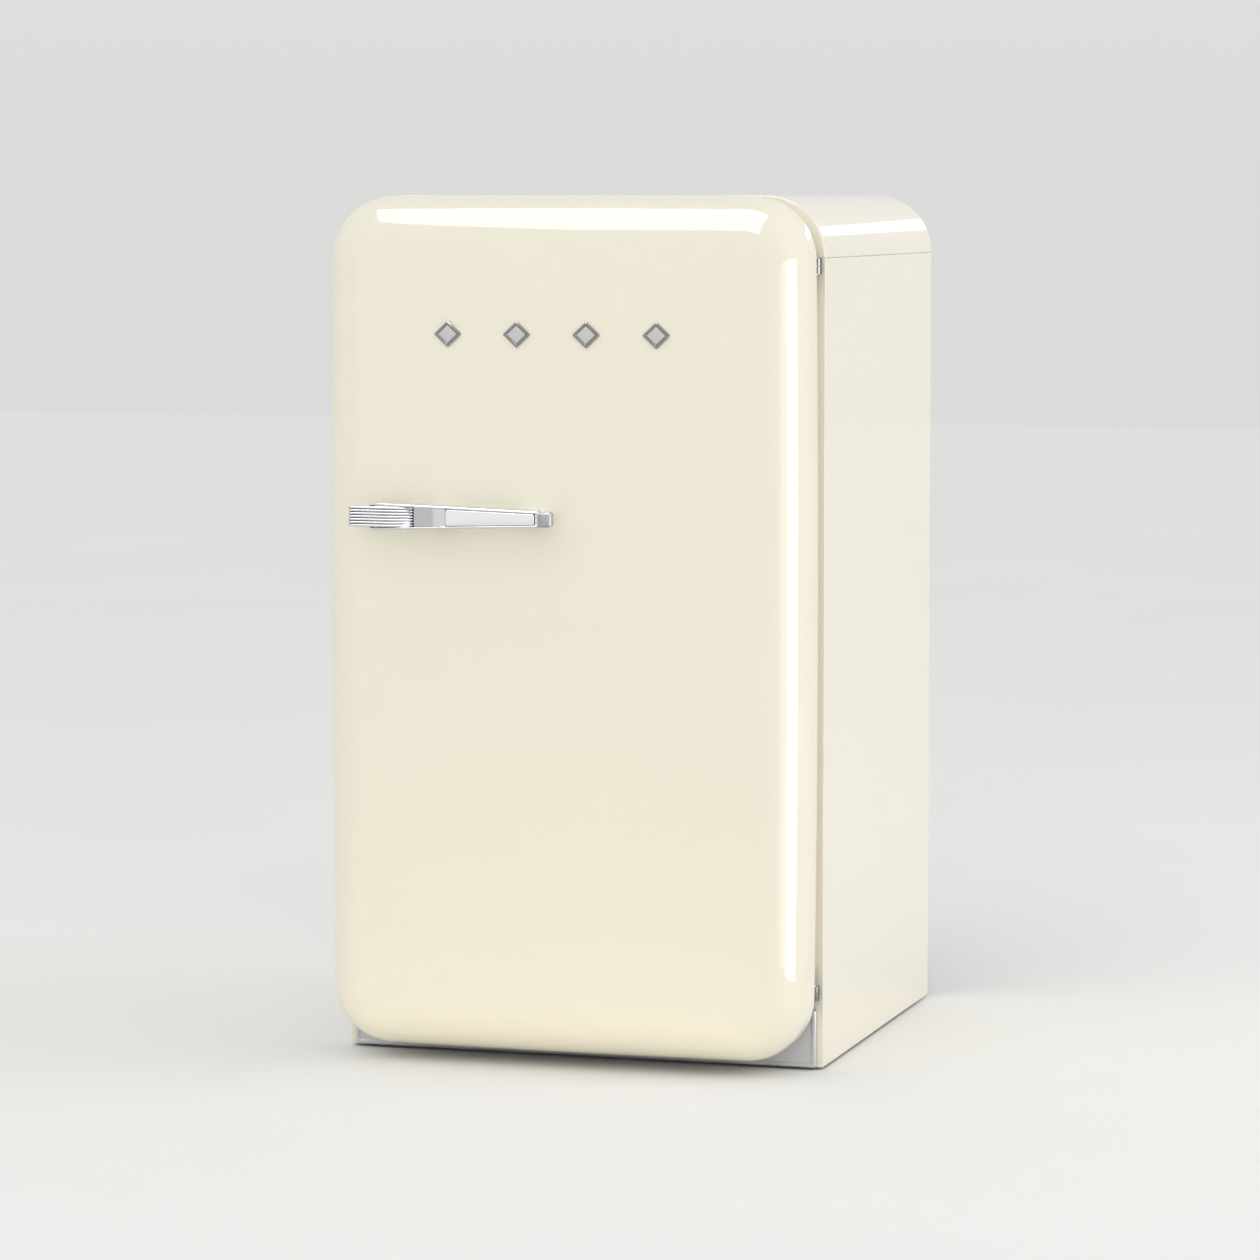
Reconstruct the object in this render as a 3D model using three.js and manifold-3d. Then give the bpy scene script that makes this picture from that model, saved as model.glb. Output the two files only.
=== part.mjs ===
// A retro compact refrigerator: one insulated door hinged on the right, an ice box behind a flap,
// glass shelves, a crisper drawer, and a compressor with its condenser at the back.
// Millimetres, +Z up. The origin is the centre of the footprint on the floor, and the door faces -Y.
import * as THREE from "three";
import { mergeVertices } from "three/addons/utils/BufferGeometryUtils.js";
import Module from "manifold-3d";

const wasm = await Module();
wasm.setup();

// ---------- driving dimensions ----------
const HALF_WIDTH = 271.5; // half of the 543 mm cabinet
const FRONT = -192; // front plane of the cabinet
const BACK = 309; // rear edge of the side panels
const REAR_LIMIT = 335; // tips of the wall spacers
const PANEL_BOTTOM = 3; // the panels end this far above the floor
const TOP = 948;
const COVER_SEAM = 881; // where the top cover meets the side panels
const COVER_RADIUS = 66.5;
const SHEET = 1.4; // painted steel
const GAP = 0.4; // between touching pieces
const WALL = 2.4; // moulded liners, bins and drawer

// Food compartment, the clear space inside the liner.
const ROOM_HALF = 226;
const ROOM_FLOOR = 94;
const ROOM_ROOF = 905;
const ROOM_BACK = 262;
const ROOM_RADIUS = 30;
const STEP_FRONT = 130; // the liner steps over the compressor behind this plane
const STEP_TOP = 250;
const FRAME_HALF = 232; // inner edge of the steel front frame
const FRAME_TOP = 911;
const FRAME_BOTTOM = 88;

// Compressor bay and base.
const TRAY = 30; // underside of the base tray
const TRAY_SHEET = 2;
const TRAY_FLANGE = 28; // height of the tray's rear flange
const RAIL_BOTTOM = 10; // lower edge of the rail under the opening
const RAIL_RETURN = 10;
const GLAND_X = 200;
const GLAND_Z = TRAY + 14;
const GLAND_RADIUS = 8.4;
const BAY_FRONT = 165;
const BAY_ROOF = 215;
const FOOT_X = 235;
const FOOT_FRONT_Y = -160;
const FOOT_REAR_Y = 275;
const STEM_RADIUS = 4;
const PLINTH_INSET = 6.3; // from the cabinet's sides
const PLINTH_DEPTH = 6.5;
const PLINTH_TOP = 66;
const SPACER_X = 215;
const SPACER_Z = 908;

// Door. Depths are measured forward from the cabinet's front plane.
const DOOR_BACK = 20;
const DOOR_EDGE = 100;
const DOOR_CROWN = 105;
const DOOR_BOTTOM = 15;
const DOOR_CORNER = 67;
const DOOR_ROUNDOVER = 50;
const DOOR_REAR_ROUND = 8;
const DOOR_SIDE_BOW = 0.0133;
const DOOR_TOP_BOW = 0.004;
const DOOR_SHEET = 2;
const DOOR_LIP = 24; // how far the shell's rear lip turns in
const DIKE_HALF = 217; // the door liner's raised border
const DIKE_BOTTOM = 103;
const DIKE_TOP = 896;
const DIKE_BACK = -30;
const TUB_HALF = 198; // the hollow between the dikes
const TUB_FLOOR = 43;
const GASKET_HALF = 250;
const GASKET_WIDTH = 17;
const GASKET_BOTTOM = 70;
const GASKET_TOP = 929;

// Door hinge.
const PIVOT_X = 264;
const PIVOT_DEPTH = 9;
const PIN_RADIUS = 2.5;
const BORE_RADIUS = 2.9;
const KNUCKLE_RADIUS = 6;
const HINGE_HEIGHT = 16.4;
const UPPER_HINGE = 864;
const LOWER_HINGE = 77.5;

// Pull handle.
const HANDLE_Z = 603;
const GRIP_LEFT = -221;
const HOUSING_LEFT = -198;
const GRIP_RIGHT = -150;
const PANEL_LEFT = -112;
const HOUSING_RIGHT = -9;
const HANDLE_RIGHT = 6.5;
const HANDLE_FRONT = -335;
const HOUSING_FRONT = -333;
const HOUSING_BACK = -319;
const HOUSING_HALF_LEFT = 15;
const HOUSING_HALF_RIGHT = 8.8;
const GRIP_HALF = 11.2;
const GRIP_RIBS = 7;

// Inside the compartment.
const SHELF_HALF = 222;
const SHELF_FRONT = -112;
const SHELF_BACK = 255;
const SHELF_GLASS = 4;
const SHELF_LEVELS = [262, 430, 600];
const ICE_HALF = 209;
const ICE_FRONT = -40;
const ICE_BACK = 250;
const ICE_BOTTOM = 785;
const ICE_TOP = 892;
const FLAP_PIVOT_Y = -49;
const FLAP_PIVOT_Z = 884;
const FLAP_BOTTOM = 790;
const KNOB_Y = -20;
const KNOB_Z = 715;
const CONTROL_LEFT = 190;
const BIN_HALF = 195;
const BIN_BACK_DEPTH = 42.6;
const BIN_REACH = -56;

const UP = "z";
const QUARTER = Math.PI / 2;

// ---------- solids ----------
const depthToY = (depth) => FRONT - depth;

function solid(geometry) {
  const bare = geometry.index ? geometry.toNonIndexed() : geometry.clone();
  bare.deleteAttribute("normal");
  bare.deleteAttribute("uv");
  const merged = mergeVertices(bare, 1e-4);
  const vertProperties = merged.attributes.position.array;
  const triVerts = new Uint32Array(merged.index.array);
  return new wasm.Manifold(new wasm.Mesh({ numProp: 3, vertProperties, triVerts }));
}

function geometryOf(shape) {
  const { vertProperties, triVerts } = shape.getMesh();
  const geometry = new THREE.BufferGeometry();
  geometry.setAttribute("position", new THREE.BufferAttribute(vertProperties, 3));
  geometry.setIndex(new THREE.BufferAttribute(triVerts, 1));
  const faceted = geometry.toNonIndexed();
  faceted.computeVertexNormals();
  return faceted;
}

const join = (first, ...others) => others.reduce((sum, other) => sum.add(other), first);
const cut = (first, ...others) => others.reduce((rest, other) => rest.subtract(other), first);

function block(x0, x1, y0, y1, z0, z1) {
  const box = new THREE.BoxGeometry(x1 - x0, y1 - y0, z1 - z0);
  return solid(box.translate((x0 + x1) / 2, (y0 + y1) / 2, (z0 + z1) / 2));
}

// A cylinder from start to end along one axis, through the point given.
function rod(axis, radius, start, end, [x, y, z], sides = 20) {
  const bar = new THREE.CylinderGeometry(radius, radius, end - start, sides);
  const middle = (start + end) / 2;
  if (axis === "x") bar.rotateZ(QUARTER).translate(middle, y, z);
  if (axis === "y") bar.translate(x, middle, z);
  if (axis === UP) bar.rotateX(QUARTER).translate(x, y, middle);
  return solid(bar);
}

function roundedOutline(x0, x1, y0, y1, radius) {
  const outline = new THREE.Shape();
  outline.absarc(x1 - radius, y0 + radius, radius, -QUARTER, 0, false);
  outline.absarc(x1 - radius, y1 - radius, radius, 0, QUARTER, false);
  outline.absarc(x0 + radius, y1 - radius, radius, QUARTER, 2 * QUARTER, false);
  outline.absarc(x0 + radius, y0 + radius, radius, 2 * QUARTER, 3 * QUARTER, false);
  outline.closePath();
  return outline;
}

function polygon(points) {
  return new THREE.Shape(points.map(([x, y]) => new THREE.Vector2(x, y)));
}

function extrude(outline, depth, curveSegments) {
  return new THREE.ExtrudeGeometry(outline, { depth, bevelEnabled: false, curveSegments });
}

// Outlines drawn in XY, XZ and YZ, extruded along the third axis.
function alongZ(outline, z0, z1, arcSteps = 2) {
  return solid(extrude(outline, z1 - z0, arcSteps).translate(0, 0, z0));
}

function alongY(outline, y0, y1, arcSteps = 3) {
  return solid(extrude(outline, y1 - y0, arcSteps).rotateX(QUARTER).translate(0, y1, 0));
}

const YZ_OUTLINE = new THREE.Matrix4().set(0, 0, 1, 0, 1, 0, 0, 0, 0, 1, 0, 0, 0, 0, 0, 1);
function alongX(outline, x0, x1, arcSteps = 3) {
  return solid(extrude(outline, x1 - x0, arcSteps).applyMatrix4(YZ_OUTLINE).translate(x0, 0, 0));
}

// An open-topped tub with rounded upright corners.
function openTub(x0, x1, y0, y1, z0, z1, radius, wall = WALL) {
  const outer = roundedOutline(x0, x1, y0, y1, radius);
  const inner = roundedOutline(x0 + wall, x1 - wall, y0 + wall, y1 - wall, radius - wall);
  return cut(alongZ(outer, z0, z1), alongZ(inner, z0 + wall, z1 + 1));
}

// ---------- materials ----------
function material(color, roughness, metalness = 0, opacity = 1) {
  const transparent = opacity < 1;
  return new THREE.MeshStandardMaterial({ color, roughness, metalness, opacity, transparent });
}

const enamel = material(0xefe9d8, 0.22);
const whitePlastic = material(0xf3f4f2, 0.35);
const clearPlastic = material(0xe6eef0, 0.15, 0, 0.45);
const glass = material(0xdfeee8, 0.05, 0, 0.35);
const chrome = material(0xd5d6d8, 0.12, 1);
const brushedSteel = material(0xb9babd, 0.35, 1);
const silverPaint = material(0xbfc0c3, 0.4, 0.6);
const aluminium = material(0xcfd1d2, 0.4, 1);
const zincSteel = material(0xa9adb0, 0.45, 0.9);
const blackPaint = material(0x17181a, 0.5, 0.3);
const blackPlastic = material(0x1d1e20, 0.6);
const whiteRubber = material(0xe9e9e4, 0.7);
const foam = material(0xe8d9a4, 0.9);

// ---------- scene graph ----------
const fridge = new THREE.Group();
const cabinet = new THREE.Group();
const machinery = new THREE.Group();
const interior = new THREE.Group();
const door = new THREE.Group();
fridge.add(cabinet, machinery, interior, door);

function addPiece(group, name, shape, look) {
  const mesh = new THREE.Mesh(geometryOf(shape), look);
  mesh.name = name;
  group.add(mesh);
  return mesh;
}

// ---------- cabinet ----------
// The cabinet's front outline, an arch with upright sides, inset all round and cut at a bottom height.
function archOutline(inset, bottom) {
  const half = HALF_WIDTH - inset;
  const centreX = HALF_WIDTH - COVER_RADIUS;
  const centreZ = TOP - COVER_RADIUS;
  const radius = COVER_RADIUS - inset;
  const outline = new THREE.Shape();
  outline.moveTo(-half, bottom);
  outline.lineTo(half, bottom);
  outline.absarc(centreX, centreZ, radius, 0, QUARTER, false);
  outline.absarc(-centreX, centreZ, radius, QUARTER, 2 * QUARTER, false);
  outline.closePath();
  return outline;
}

const ARCH_STEPS = 5;

function sidePanel(side) {
  const outer = side * HALF_WIDTH;
  const inner = side * (HALF_WIDTH - SHEET);
  const flangeEdge = side * FRAME_HALF;
  const section = polygon([
    [outer, BACK],
    [outer, FRONT],
    [flangeEdge, FRONT],
    [flangeEdge, FRONT + SHEET],
    [inner, FRONT + SHEET],
    [inner, BACK],
  ]);
  return alongZ(section, PANEL_BOTTOM, COVER_SEAM - GAP);
}

function topCover() {
  const skin = alongY(archOutline(0, COVER_SEAM), FRONT, BACK, ARCH_STEPS);
  const hollow = alongY(archOutline(SHEET, COVER_SEAM - 1), FRONT + SHEET, BACK + 1, ARCH_STEPS);
  const radius = ROOM_RADIUS + FRAME_HALF - ROOM_HALF;
  const opening = roundedOutline(-FRAME_HALF, FRAME_HALF, FRAME_BOTTOM, FRAME_TOP, radius);
  return cut(skin, hollow, alongY(opening, FRONT - 1, FRONT + SHEET + 1));
}

function backPanel() {
  return alongY(archOutline(SHEET + GAP, BAY_ROOF + 1), BACK - 2, BACK - 0.6, ARCH_STEPS);
}

function frontBottomRail() {
  const half = FRAME_HALF - GAP;
  const face = block(-half, half, FRONT, FRONT + SHEET, RAIL_BOTTOM, FRAME_BOTTOM);
  const returnFlange = block(
    -half,
    half,
    FRONT,
    FRONT + RAIL_RETURN,
    RAIL_BOTTOM,
    RAIL_BOTTOM + SHEET,
  );
  return join(face, returnFlange);
}

function baseTray() {
  const half = HALF_WIDTH - SHEET - GAP;
  const plate = block(-half, half, FRONT + 4, BACK - 4, TRAY, TRAY + TRAY_SHEET);
  const rearFlange = block(-half, half, BACK - 6, BACK - 4, TRAY, TRAY + TRAY_FLANGE);
  const glandHole = rod("y", GLAND_RADIUS + 0.6, BACK - 10, BACK, [GLAND_X, 0, GLAND_Z]);
  const stemHole = (x) => rod(UP, STEM_RADIUS + 0.8, TRAY - 1, TRAY + 5, [x, FOOT_FRONT_Y, 0]);
  return cut(join(plate, rearFlange), glandHole, stemHole(-FOOT_X), stemHole(FOOT_X));
}

// The liner's inner space grown outwards by a margin, with the step over the compressor taken away.
function roomSolid(margin, frontY) {
  const outline = roundedOutline(
    -ROOM_HALF - margin,
    ROOM_HALF + margin,
    ROOM_FLOOR - margin,
    ROOM_ROOF + margin,
    ROOM_RADIUS + margin,
  );
  const room = alongY(outline, frontY, ROOM_BACK + margin);
  const farX = 2 * ROOM_HALF;
  const step = block(-farX, farX, STEP_FRONT + margin, 2 * ROOM_BACK, 0, STEP_TOP - margin);
  return cut(room, step);
}

const DRAIN_Y = 225;
const DRAIN_RADIUS = 8;
const LEDGE_SETBACK = 20; // the shelf ledges start this far behind the shelves
const LEDGE_OVERLAP = 4; // and reach this far under their sides
const LEDGE_HEIGHT = 6;

function innerLiner() {
  const half = FRAME_HALF - GAP;
  const top = FRAME_TOP - GAP;
  const radius = ROOM_RADIUS + half - ROOM_HALF;
  const flangeOutline = roundedOutline(-half, half, FRAME_BOTTOM + GAP, top, radius);
  const flange = alongY(flangeOutline, FRONT, FRONT + WALL);
  const shell = cut(join(roomSolid(WALL, FRONT), flange), roomSolid(0, FRONT - 1));
  const ledges = SHELF_LEVELS.flatMap((level) =>
    [-1, 1].map((side) => {
      const edge = side * (SHELF_HALF - LEDGE_OVERLAP);
      const wall = side * (ROOM_HALF + 1);
      const [x0, x1] = [Math.min(edge, wall), Math.max(edge, wall)];
      const front = SHELF_FRONT + LEDGE_SETBACK;
      return block(x0, x1, front, SHELF_BACK, level - LEDGE_HEIGHT, level - GAP);
    }),
  );
  const drainHole = rod(UP, DRAIN_RADIUS + GAP, STEP_TOP - 10, STEP_TOP + 1, [0, DRAIN_Y, 0]);
  return cut(join(shell, ...ledges), drainHole);
}

function cabinetFoam() {
  const body = alongY(archOutline(SHEET + GAP, TRAY + 4), FRONT + 3, BACK - 2.4, ARCH_STEPS);
  const bay = block(-2 * HALF_WIDTH, 2 * HALF_WIDTH, BAY_FRONT, 2 * BACK, 0, BAY_ROOF);
  const stemPocket = (x) => rod(UP, STEM_RADIUS + 2, TRAY, TRAY + 34, [x, FOOT_FRONT_Y, 0]);
  const drainHole = rod(UP, DRAIN_RADIUS + GAP, BAY_ROOF - 1, STEP_TOP, [0, DRAIN_Y, 0]);
  const room = roomSolid(WALL + GAP, FRONT - 1);
  return cut(body, room, bay, drainHole, stemPocket(-FOOT_X), stemPocket(FOOT_X));
}

function plinth() {
  const half = HALF_WIDTH - PLINTH_INSET;
  const face = depthToY(PLINTH_DEPTH);
  const outer = block(-half, half, face, FRONT - GAP, PANEL_BOTTOM, PLINTH_TOP);
  const hollow = block(
    -half + SHEET,
    half - SHEET,
    face + SHEET,
    FRONT,
    PANEL_BOTTOM + SHEET,
    PLINTH_TOP - SHEET,
  );
  return cut(outer, hollow);
}

// A turned plastic foot: a wide pad with a chamfer, then a narrower neck.
function rearFoot() {
  const profile = [
    [0, 0],
    [15, 0],
    [17, 2],
    [17, 9],
    [11, 12],
    [11, TRAY - GAP],
    [0, TRAY - GAP],
  ].map(([radius, height]) => new THREE.Vector2(radius, height));
  return solid(new THREE.LatheGeometry(profile, 20).rotateX(QUARTER));
}

function levellingFoot() {
  const profile = [
    [0, 0],
    [16, 0],
    [18, 2],
    [18, 10],
    [STEM_RADIUS, 12],
    [STEM_RADIUS, TRAY + 22],
    [0, TRAY + 22],
  ].map(([radius, height]) => new THREE.Vector2(radius, height));
  return solid(new THREE.LatheGeometry(profile, 20).rotateX(QUARTER));
}

addPiece(cabinet, "side_panel_left", sidePanel(-1), enamel);
addPiece(cabinet, "side_panel_right", sidePanel(1), enamel);
addPiece(cabinet, "top_cover", topCover(), enamel);
addPiece(cabinet, "back_panel", backPanel(), zincSteel);
addPiece(cabinet, "front_bottom_rail", frontBottomRail(), enamel);
addPiece(cabinet, "base_tray", baseTray(), zincSteel);
addPiece(cabinet, "inner_liner", innerLiner(), whitePlastic);
addPiece(cabinet, "cabinet_foam", cabinetFoam(), foam);
addPiece(cabinet, "plinth", plinth(), silverPaint);
for (const [name, side] of [["left", -1], ["right", 1]]) {
  const rear = addPiece(cabinet, `rear_foot_${name}`, rearFoot(), blackPlastic);
  rear.position.set(side * FOOT_X, FOOT_REAR_Y, 0);
  const front = addPiece(cabinet, `levelling_foot_${name}`, levellingFoot(), blackPlastic);
  front.position.set(side * FOOT_X, FOOT_FRONT_Y, 0);
}

// ---------- door hinges ----------
// Each hinge is a fixed leaf with the lower knuckle, a door leaf with the upper one, and a pin.
const PIVOT_Y = depthToY(PIVOT_DEPTH);
const KNUCKLE_SPLIT = HINGE_HEIGHT / 2;
const LEAF_OUT = PIVOT_X - 2;
const LEAF_IN = PIVOT_X - 11.4;
const LEAF_SHEET = 2.3;

function knuckle(z0, z1) {
  const at = [PIVOT_X, PIVOT_Y, 0];
  return [rod(UP, KNUCKLE_RADIUS, z0, z1, at), rod(UP, BORE_RADIUS, z0 - 1, z1 + 1, at)];
}

// extension is where the leaf ends past the knuckles: below an upper hinge, above a lower one.
function leafSpan(base, extension) {
  return [Math.min(base, base + extension), Math.max(base + HINGE_HEIGHT, base + extension)];
}

function fixedLeaf(base, extension) {
  const [z0, z1] = leafSpan(base, extension);
  const face = FRONT - GAP;
  const leaf = block(LEAF_IN, LEAF_OUT, face - LEAF_SHEET, face, z0, z1);
  const arm = block(LEAF_IN + 2, LEAF_OUT, PIVOT_Y, face, base, base + KNUCKLE_SPLIT - GAP);
  const [barrel, bore] = knuckle(base, base + KNUCKLE_SPLIT - GAP);
  return cut(join(leaf, arm, barrel), bore);
}

function doorLeaf(base, extension) {
  const [z0, z1] = leafSpan(base, extension);
  const face = depthToY(DOOR_BACK) + GAP;
  const top = base + HINGE_HEIGHT;
  const leaf = block(LEAF_IN, LEAF_OUT, face, face + LEAF_SHEET, z0, z1);
  const arm = block(LEAF_IN + 2, LEAF_OUT, face, PIVOT_Y, base + KNUCKLE_SPLIT + GAP, top);
  const [barrel, bore] = knuckle(base + KNUCKLE_SPLIT + GAP, top);
  return cut(join(leaf, arm, barrel), bore);
}

const HINGES = [
  ["upper", UPPER_HINGE, -18],
  ["lower", LOWER_HINGE, 34],
];
for (const [name, base, extension] of HINGES) {
  const pin = rod(UP, PIN_RADIUS, base - 1.5, base + HINGE_HEIGHT + 1.5, [PIVOT_X, PIVOT_Y, 0]);
  addPiece(cabinet, `${name}_hinge_bracket`, fixedLeaf(base, extension), brushedSteel);
  addPiece(cabinet, `${name}_hinge_pin`, pin, brushedSteel);
  addPiece(door, `${name}_door_leaf`, doorLeaf(base, extension), brushedSteel);
}

// ---------- cooling machinery ----------
const COMPRESSOR_Y = 238;
const RAIL_TOP = TRAY + TRAY_SHEET + GAP + 13;
const COMPRESSOR_BASE = RAIL_TOP + 6;
const COMPRESSOR_HEIGHT = 132;

function compressorRail() {
  const bottom = TRAY + TRAY_SHEET + GAP;
  const plate = block(-150, 150, 180, 297, RAIL_TOP - 2, RAIL_TOP);
  const frontLeg = block(-150, 150, 180, 182, bottom, RAIL_TOP);
  const rearLeg = block(-150, 150, 295, 297, bottom, RAIL_TOP);
  return join(plate, frontLeg, rearLeg);
}

// The welded can: a lower bowl, a seam flange and a domed lid, on a foot plate.
function compressor() {
  const profile = [[0, 0]];
  const curve = 5;
  for (let i = 1; i <= curve; i += 1) {
    const turn = (i / curve) * QUARTER;
    profile.push([30 + 28 * Math.sin(turn), 22 * (1 - Math.cos(turn))]);
  }
  profile.push([58, 66], [62, 66], [62, 71], [57, 71]);
  for (let i = 0; i < curve; i += 1) {
    const turn = (i / curve) * QUARTER;
    profile.push([17 + 40 * Math.cos(turn), 92 + 40 * Math.sin(turn)]);
  }
  profile.push([17, COMPRESSOR_HEIGHT], [0, COMPRESSOR_HEIGHT]);
  const points = profile.map(([radius, z]) => new THREE.Vector2(radius, z));
  const can = solid(new THREE.LatheGeometry(points, 24).rotateX(QUARTER).scale(1.25, 0.92, 1));
  const foot = block(-98, 98, -44, 44, -2.5, 1);
  return join(can, foot).translate([0, COMPRESSOR_Y, COMPRESSOR_BASE]);
}

function relayBox() {
  const outline = roundedOutline(-106, -78.5, 205, 262, 4);
  return alongZ(outline, 78, 140);
}

const CONDENSER_Y = 318;
const CONDENSER_HALF = 205;
const CONDENSER_PASSES = 9;
const CONDENSER_BOTTOM = 275;
const CONDENSER_PITCH = 76;
const CONDENSER_TUBE = 2.6;

// One continuous serpentine tube, with two upright straps that fix it to the back panel.
function condenser() {
  const route = new THREE.CurvePath();
  const bend = CONDENSER_PITCH / 2;
  const level = (pass) => CONDENSER_BOTTOM + pass * CONDENSER_PITCH;
  for (let pass = 0; pass < CONDENSER_PASSES; pass += 1) {
    const side = pass % 2 === 0 ? 1 : -1;
    const start = new THREE.Vector3(-side * CONDENSER_HALF, CONDENSER_Y, level(pass));
    const end = new THREE.Vector3(side * CONDENSER_HALF, CONDENSER_Y, level(pass));
    route.add(new THREE.LineCurve3(start, end));
    if (pass === CONDENSER_PASSES - 1) break;
    const out = side * (CONDENSER_HALF + bend * 1.3);
    const nearOut = new THREE.Vector3(out, CONDENSER_Y, level(pass));
    const farOut = new THREE.Vector3(out, CONDENSER_Y, level(pass + 1));
    const next = new THREE.Vector3(side * CONDENSER_HALF, CONDENSER_Y, level(pass + 1));
    route.add(new THREE.CubicBezierCurve3(end, nearOut, farOut, next));
  }
  const points = [];
  route.curves.forEach((curve) => {
    const steps = curve.isLineCurve3 ? 1 : 8;
    curve.getPoints(steps).forEach((point) => points.push(point));
  });
  return join(tubeThrough(points, CONDENSER_TUBE, 8), ...condenserStraps(level));
}

function condenserStraps(level) {
  const top = level(CONDENSER_PASSES - 1) + 18;
  const bottom = CONDENSER_BOTTOM - 18;
  const face = BACK + GAP;
  return [-180, 180].flatMap((x) => [
    block(x - 6, x + 6, CONDENSER_Y - 3.5, CONDENSER_Y - 1.5, bottom, top),
    block(x - 6, x + 6, face, CONDENSER_Y - 2, top - 2, top),
    block(x - 6, x + 6, face, CONDENSER_Y - 2, bottom, bottom + 2),
  ]);
}

// A closed tube through points that lie in one upright XZ plane.
function tubeThrough(rawPoints, radius, sides) {
  const points = rawPoints.filter((p, i) => i === 0 || p.distanceTo(rawPoints[i - 1]) > 1e-3);
  const positions = [];
  const across = new THREE.Vector3(0, 1, 0);
  points.forEach((point, i) => {
    const before = points[Math.max(i - 1, 0)];
    const after = points[Math.min(i + 1, points.length - 1)];
    const forward = after.clone().sub(before).normalize();
    const normal = new THREE.Vector3().crossVectors(across, forward);
    for (let s = 0; s < sides; s += 1) {
      const turn = (s / sides) * 4 * QUARTER;
      const offset = across.clone().multiplyScalar(radius * Math.cos(turn));
      offset.addScaledVector(normal, radius * Math.sin(turn));
      positions.push(...point.clone().add(offset).toArray());
    }
  });
  const index = [];
  const last = (points.length - 1) * sides;
  for (let i = 0; i < points.length - 1; i += 1) {
    for (let s = 0; s < sides; s += 1) {
      const a = i * sides + s;
      const b = i * sides + ((s + 1) % sides);
      index.push(a, a + sides, b + sides, a, b + sides, b);
    }
  }
  for (let s = 1; s < sides - 1; s += 1) {
    index.push(0, s, s + 1);
    index.push(last, last + s + 1, last + s);
  }
  return facingOut(positions, index);
}

// A solid from raw triangles, turned round if they face in.
function facingOut(positions, index) {
  const build = (triangles) =>
    new wasm.Manifold(
      new wasm.Mesh({
        numProp: 3,
        vertProperties: new Float32Array(positions),
        triVerts: new Uint32Array(triangles),
      }),
    );
  const shape = build(index);
  return shape.volume() > 0 ? shape : build(index.reverse());
}

function drainTube() {
  const at = [0, DRAIN_Y, 0];
  const bottom = BAY_ROOF - 6;
  const tube = rod(UP, DRAIN_RADIUS, bottom, STEP_TOP + 1, at);
  return cut(tube, rod(UP, DRAIN_RADIUS - 2, bottom - 1, STEP_TOP + 2, at));
}

function cordGland() {
  const at = [GLAND_X, 0, GLAND_Z];
  const collar = rod("y", 12, BACK - 3.6, BACK + 1, at);
  const body = rod("y", GLAND_RADIUS, BACK - 12, BACK + 9, at);
  return cut(join(collar, body), rod("y", 4, BACK - 13, BACK + 10, at));
}

function wallSpacer() {
  const arm = alongX(
    polygon([
      [BACK + GAP, 0],
      [REAR_LIMIT, 6],
      [REAR_LIMIT, 18],
      [BACK + GAP, 24],
    ]),
    -9,
    9,
  );
  const window = block(-5, 5, BACK + 6, REAR_LIMIT - 5, -1, 25);
  return cut(arm, window);
}

const PAN_BOTTOM = COMPRESSOR_BASE + COMPRESSOR_HEIGHT + 3;

addPiece(machinery, "compressor_rail", compressorRail(), zincSteel);
addPiece(machinery, "compressor", compressor(), blackPaint);
addPiece(machinery, "compressor_relay_box", relayBox(), blackPlastic);
addPiece(machinery, "condenser", condenser(), blackPaint);
addPiece(
  machinery,
  "evaporation_pan",
  openTub(-72, 72, 185, 292, PAN_BOTTOM, PAN_BOTTOM + 17, 10),
  blackPlastic,
);
addPiece(machinery, "drain_tube", drainTube(), whitePlastic);
addPiece(machinery, "power_cord_gland", cordGland(), blackPlastic);
for (const [name, side] of [["left", -1], ["right", 1]]) {
  const spacer = addPiece(machinery, `wall_spacer_${name}`, wallSpacer(), blackPlastic);
  spacer.position.set(side * SPACER_X, 0, SPACER_Z);
}

// ---------- food compartment ----------
function shelfGlass(level) {
  return block(-SHELF_HALF, SHELF_HALF, SHELF_FRONT + 3, SHELF_BACK, level, level + SHELF_GLASS);
}

// The moulding that wraps the glass's front edge.
function shelfTrim(level) {
  const outline = roundedOutline(SHELF_FRONT - 6, SHELF_FRONT + 12, level - 4, level + 10, 4);
  const bar = alongX(outline, -SHELF_HALF, SHELF_HALF, 2);
  const slot = block(
    -2 * SHELF_HALF,
    2 * SHELF_HALF,
    SHELF_FRONT + 3 - GAP,
    SHELF_FRONT + 20,
    level - GAP,
    level + SHELF_GLASS + GAP,
  );
  return cut(bar, slot);
}

function iceBox() {
  const wall = 3;
  const outer = block(-ICE_HALF, ICE_HALF, ICE_FRONT, ICE_BACK, ICE_BOTTOM, ICE_TOP);
  const inner = block(
    -ICE_HALF + wall,
    ICE_HALF - wall,
    ICE_FRONT - 1,
    ICE_BACK - wall,
    ICE_BOTTOM + wall,
    ICE_TOP - wall,
  );
  const hangers = [-150, 150].map((x) => block(x - 10, x + 10, 0, 200, ICE_TOP - 1, ROOM_ROOF - GAP));
  const ears = [-1, 1].map((side) => {
    const [x0, x1] = side < 0 ? [-ICE_HALF, -ICE_HALF + wall] : [ICE_HALF - wall, ICE_HALF];
    return block(x0, x1, FLAP_PIVOT_Y - 5, ICE_FRONT + 1, FLAP_PIVOT_Z - 10, ICE_TOP);
  });
  const pinHole = rod("x", 1.9, -2 * ICE_HALF, 2 * ICE_HALF, [0, FLAP_PIVOT_Y, FLAP_PIVOT_Z], 12);
  return cut(join(cut(outer, inner), ...hangers, ...ears), pinHole);
}

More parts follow.
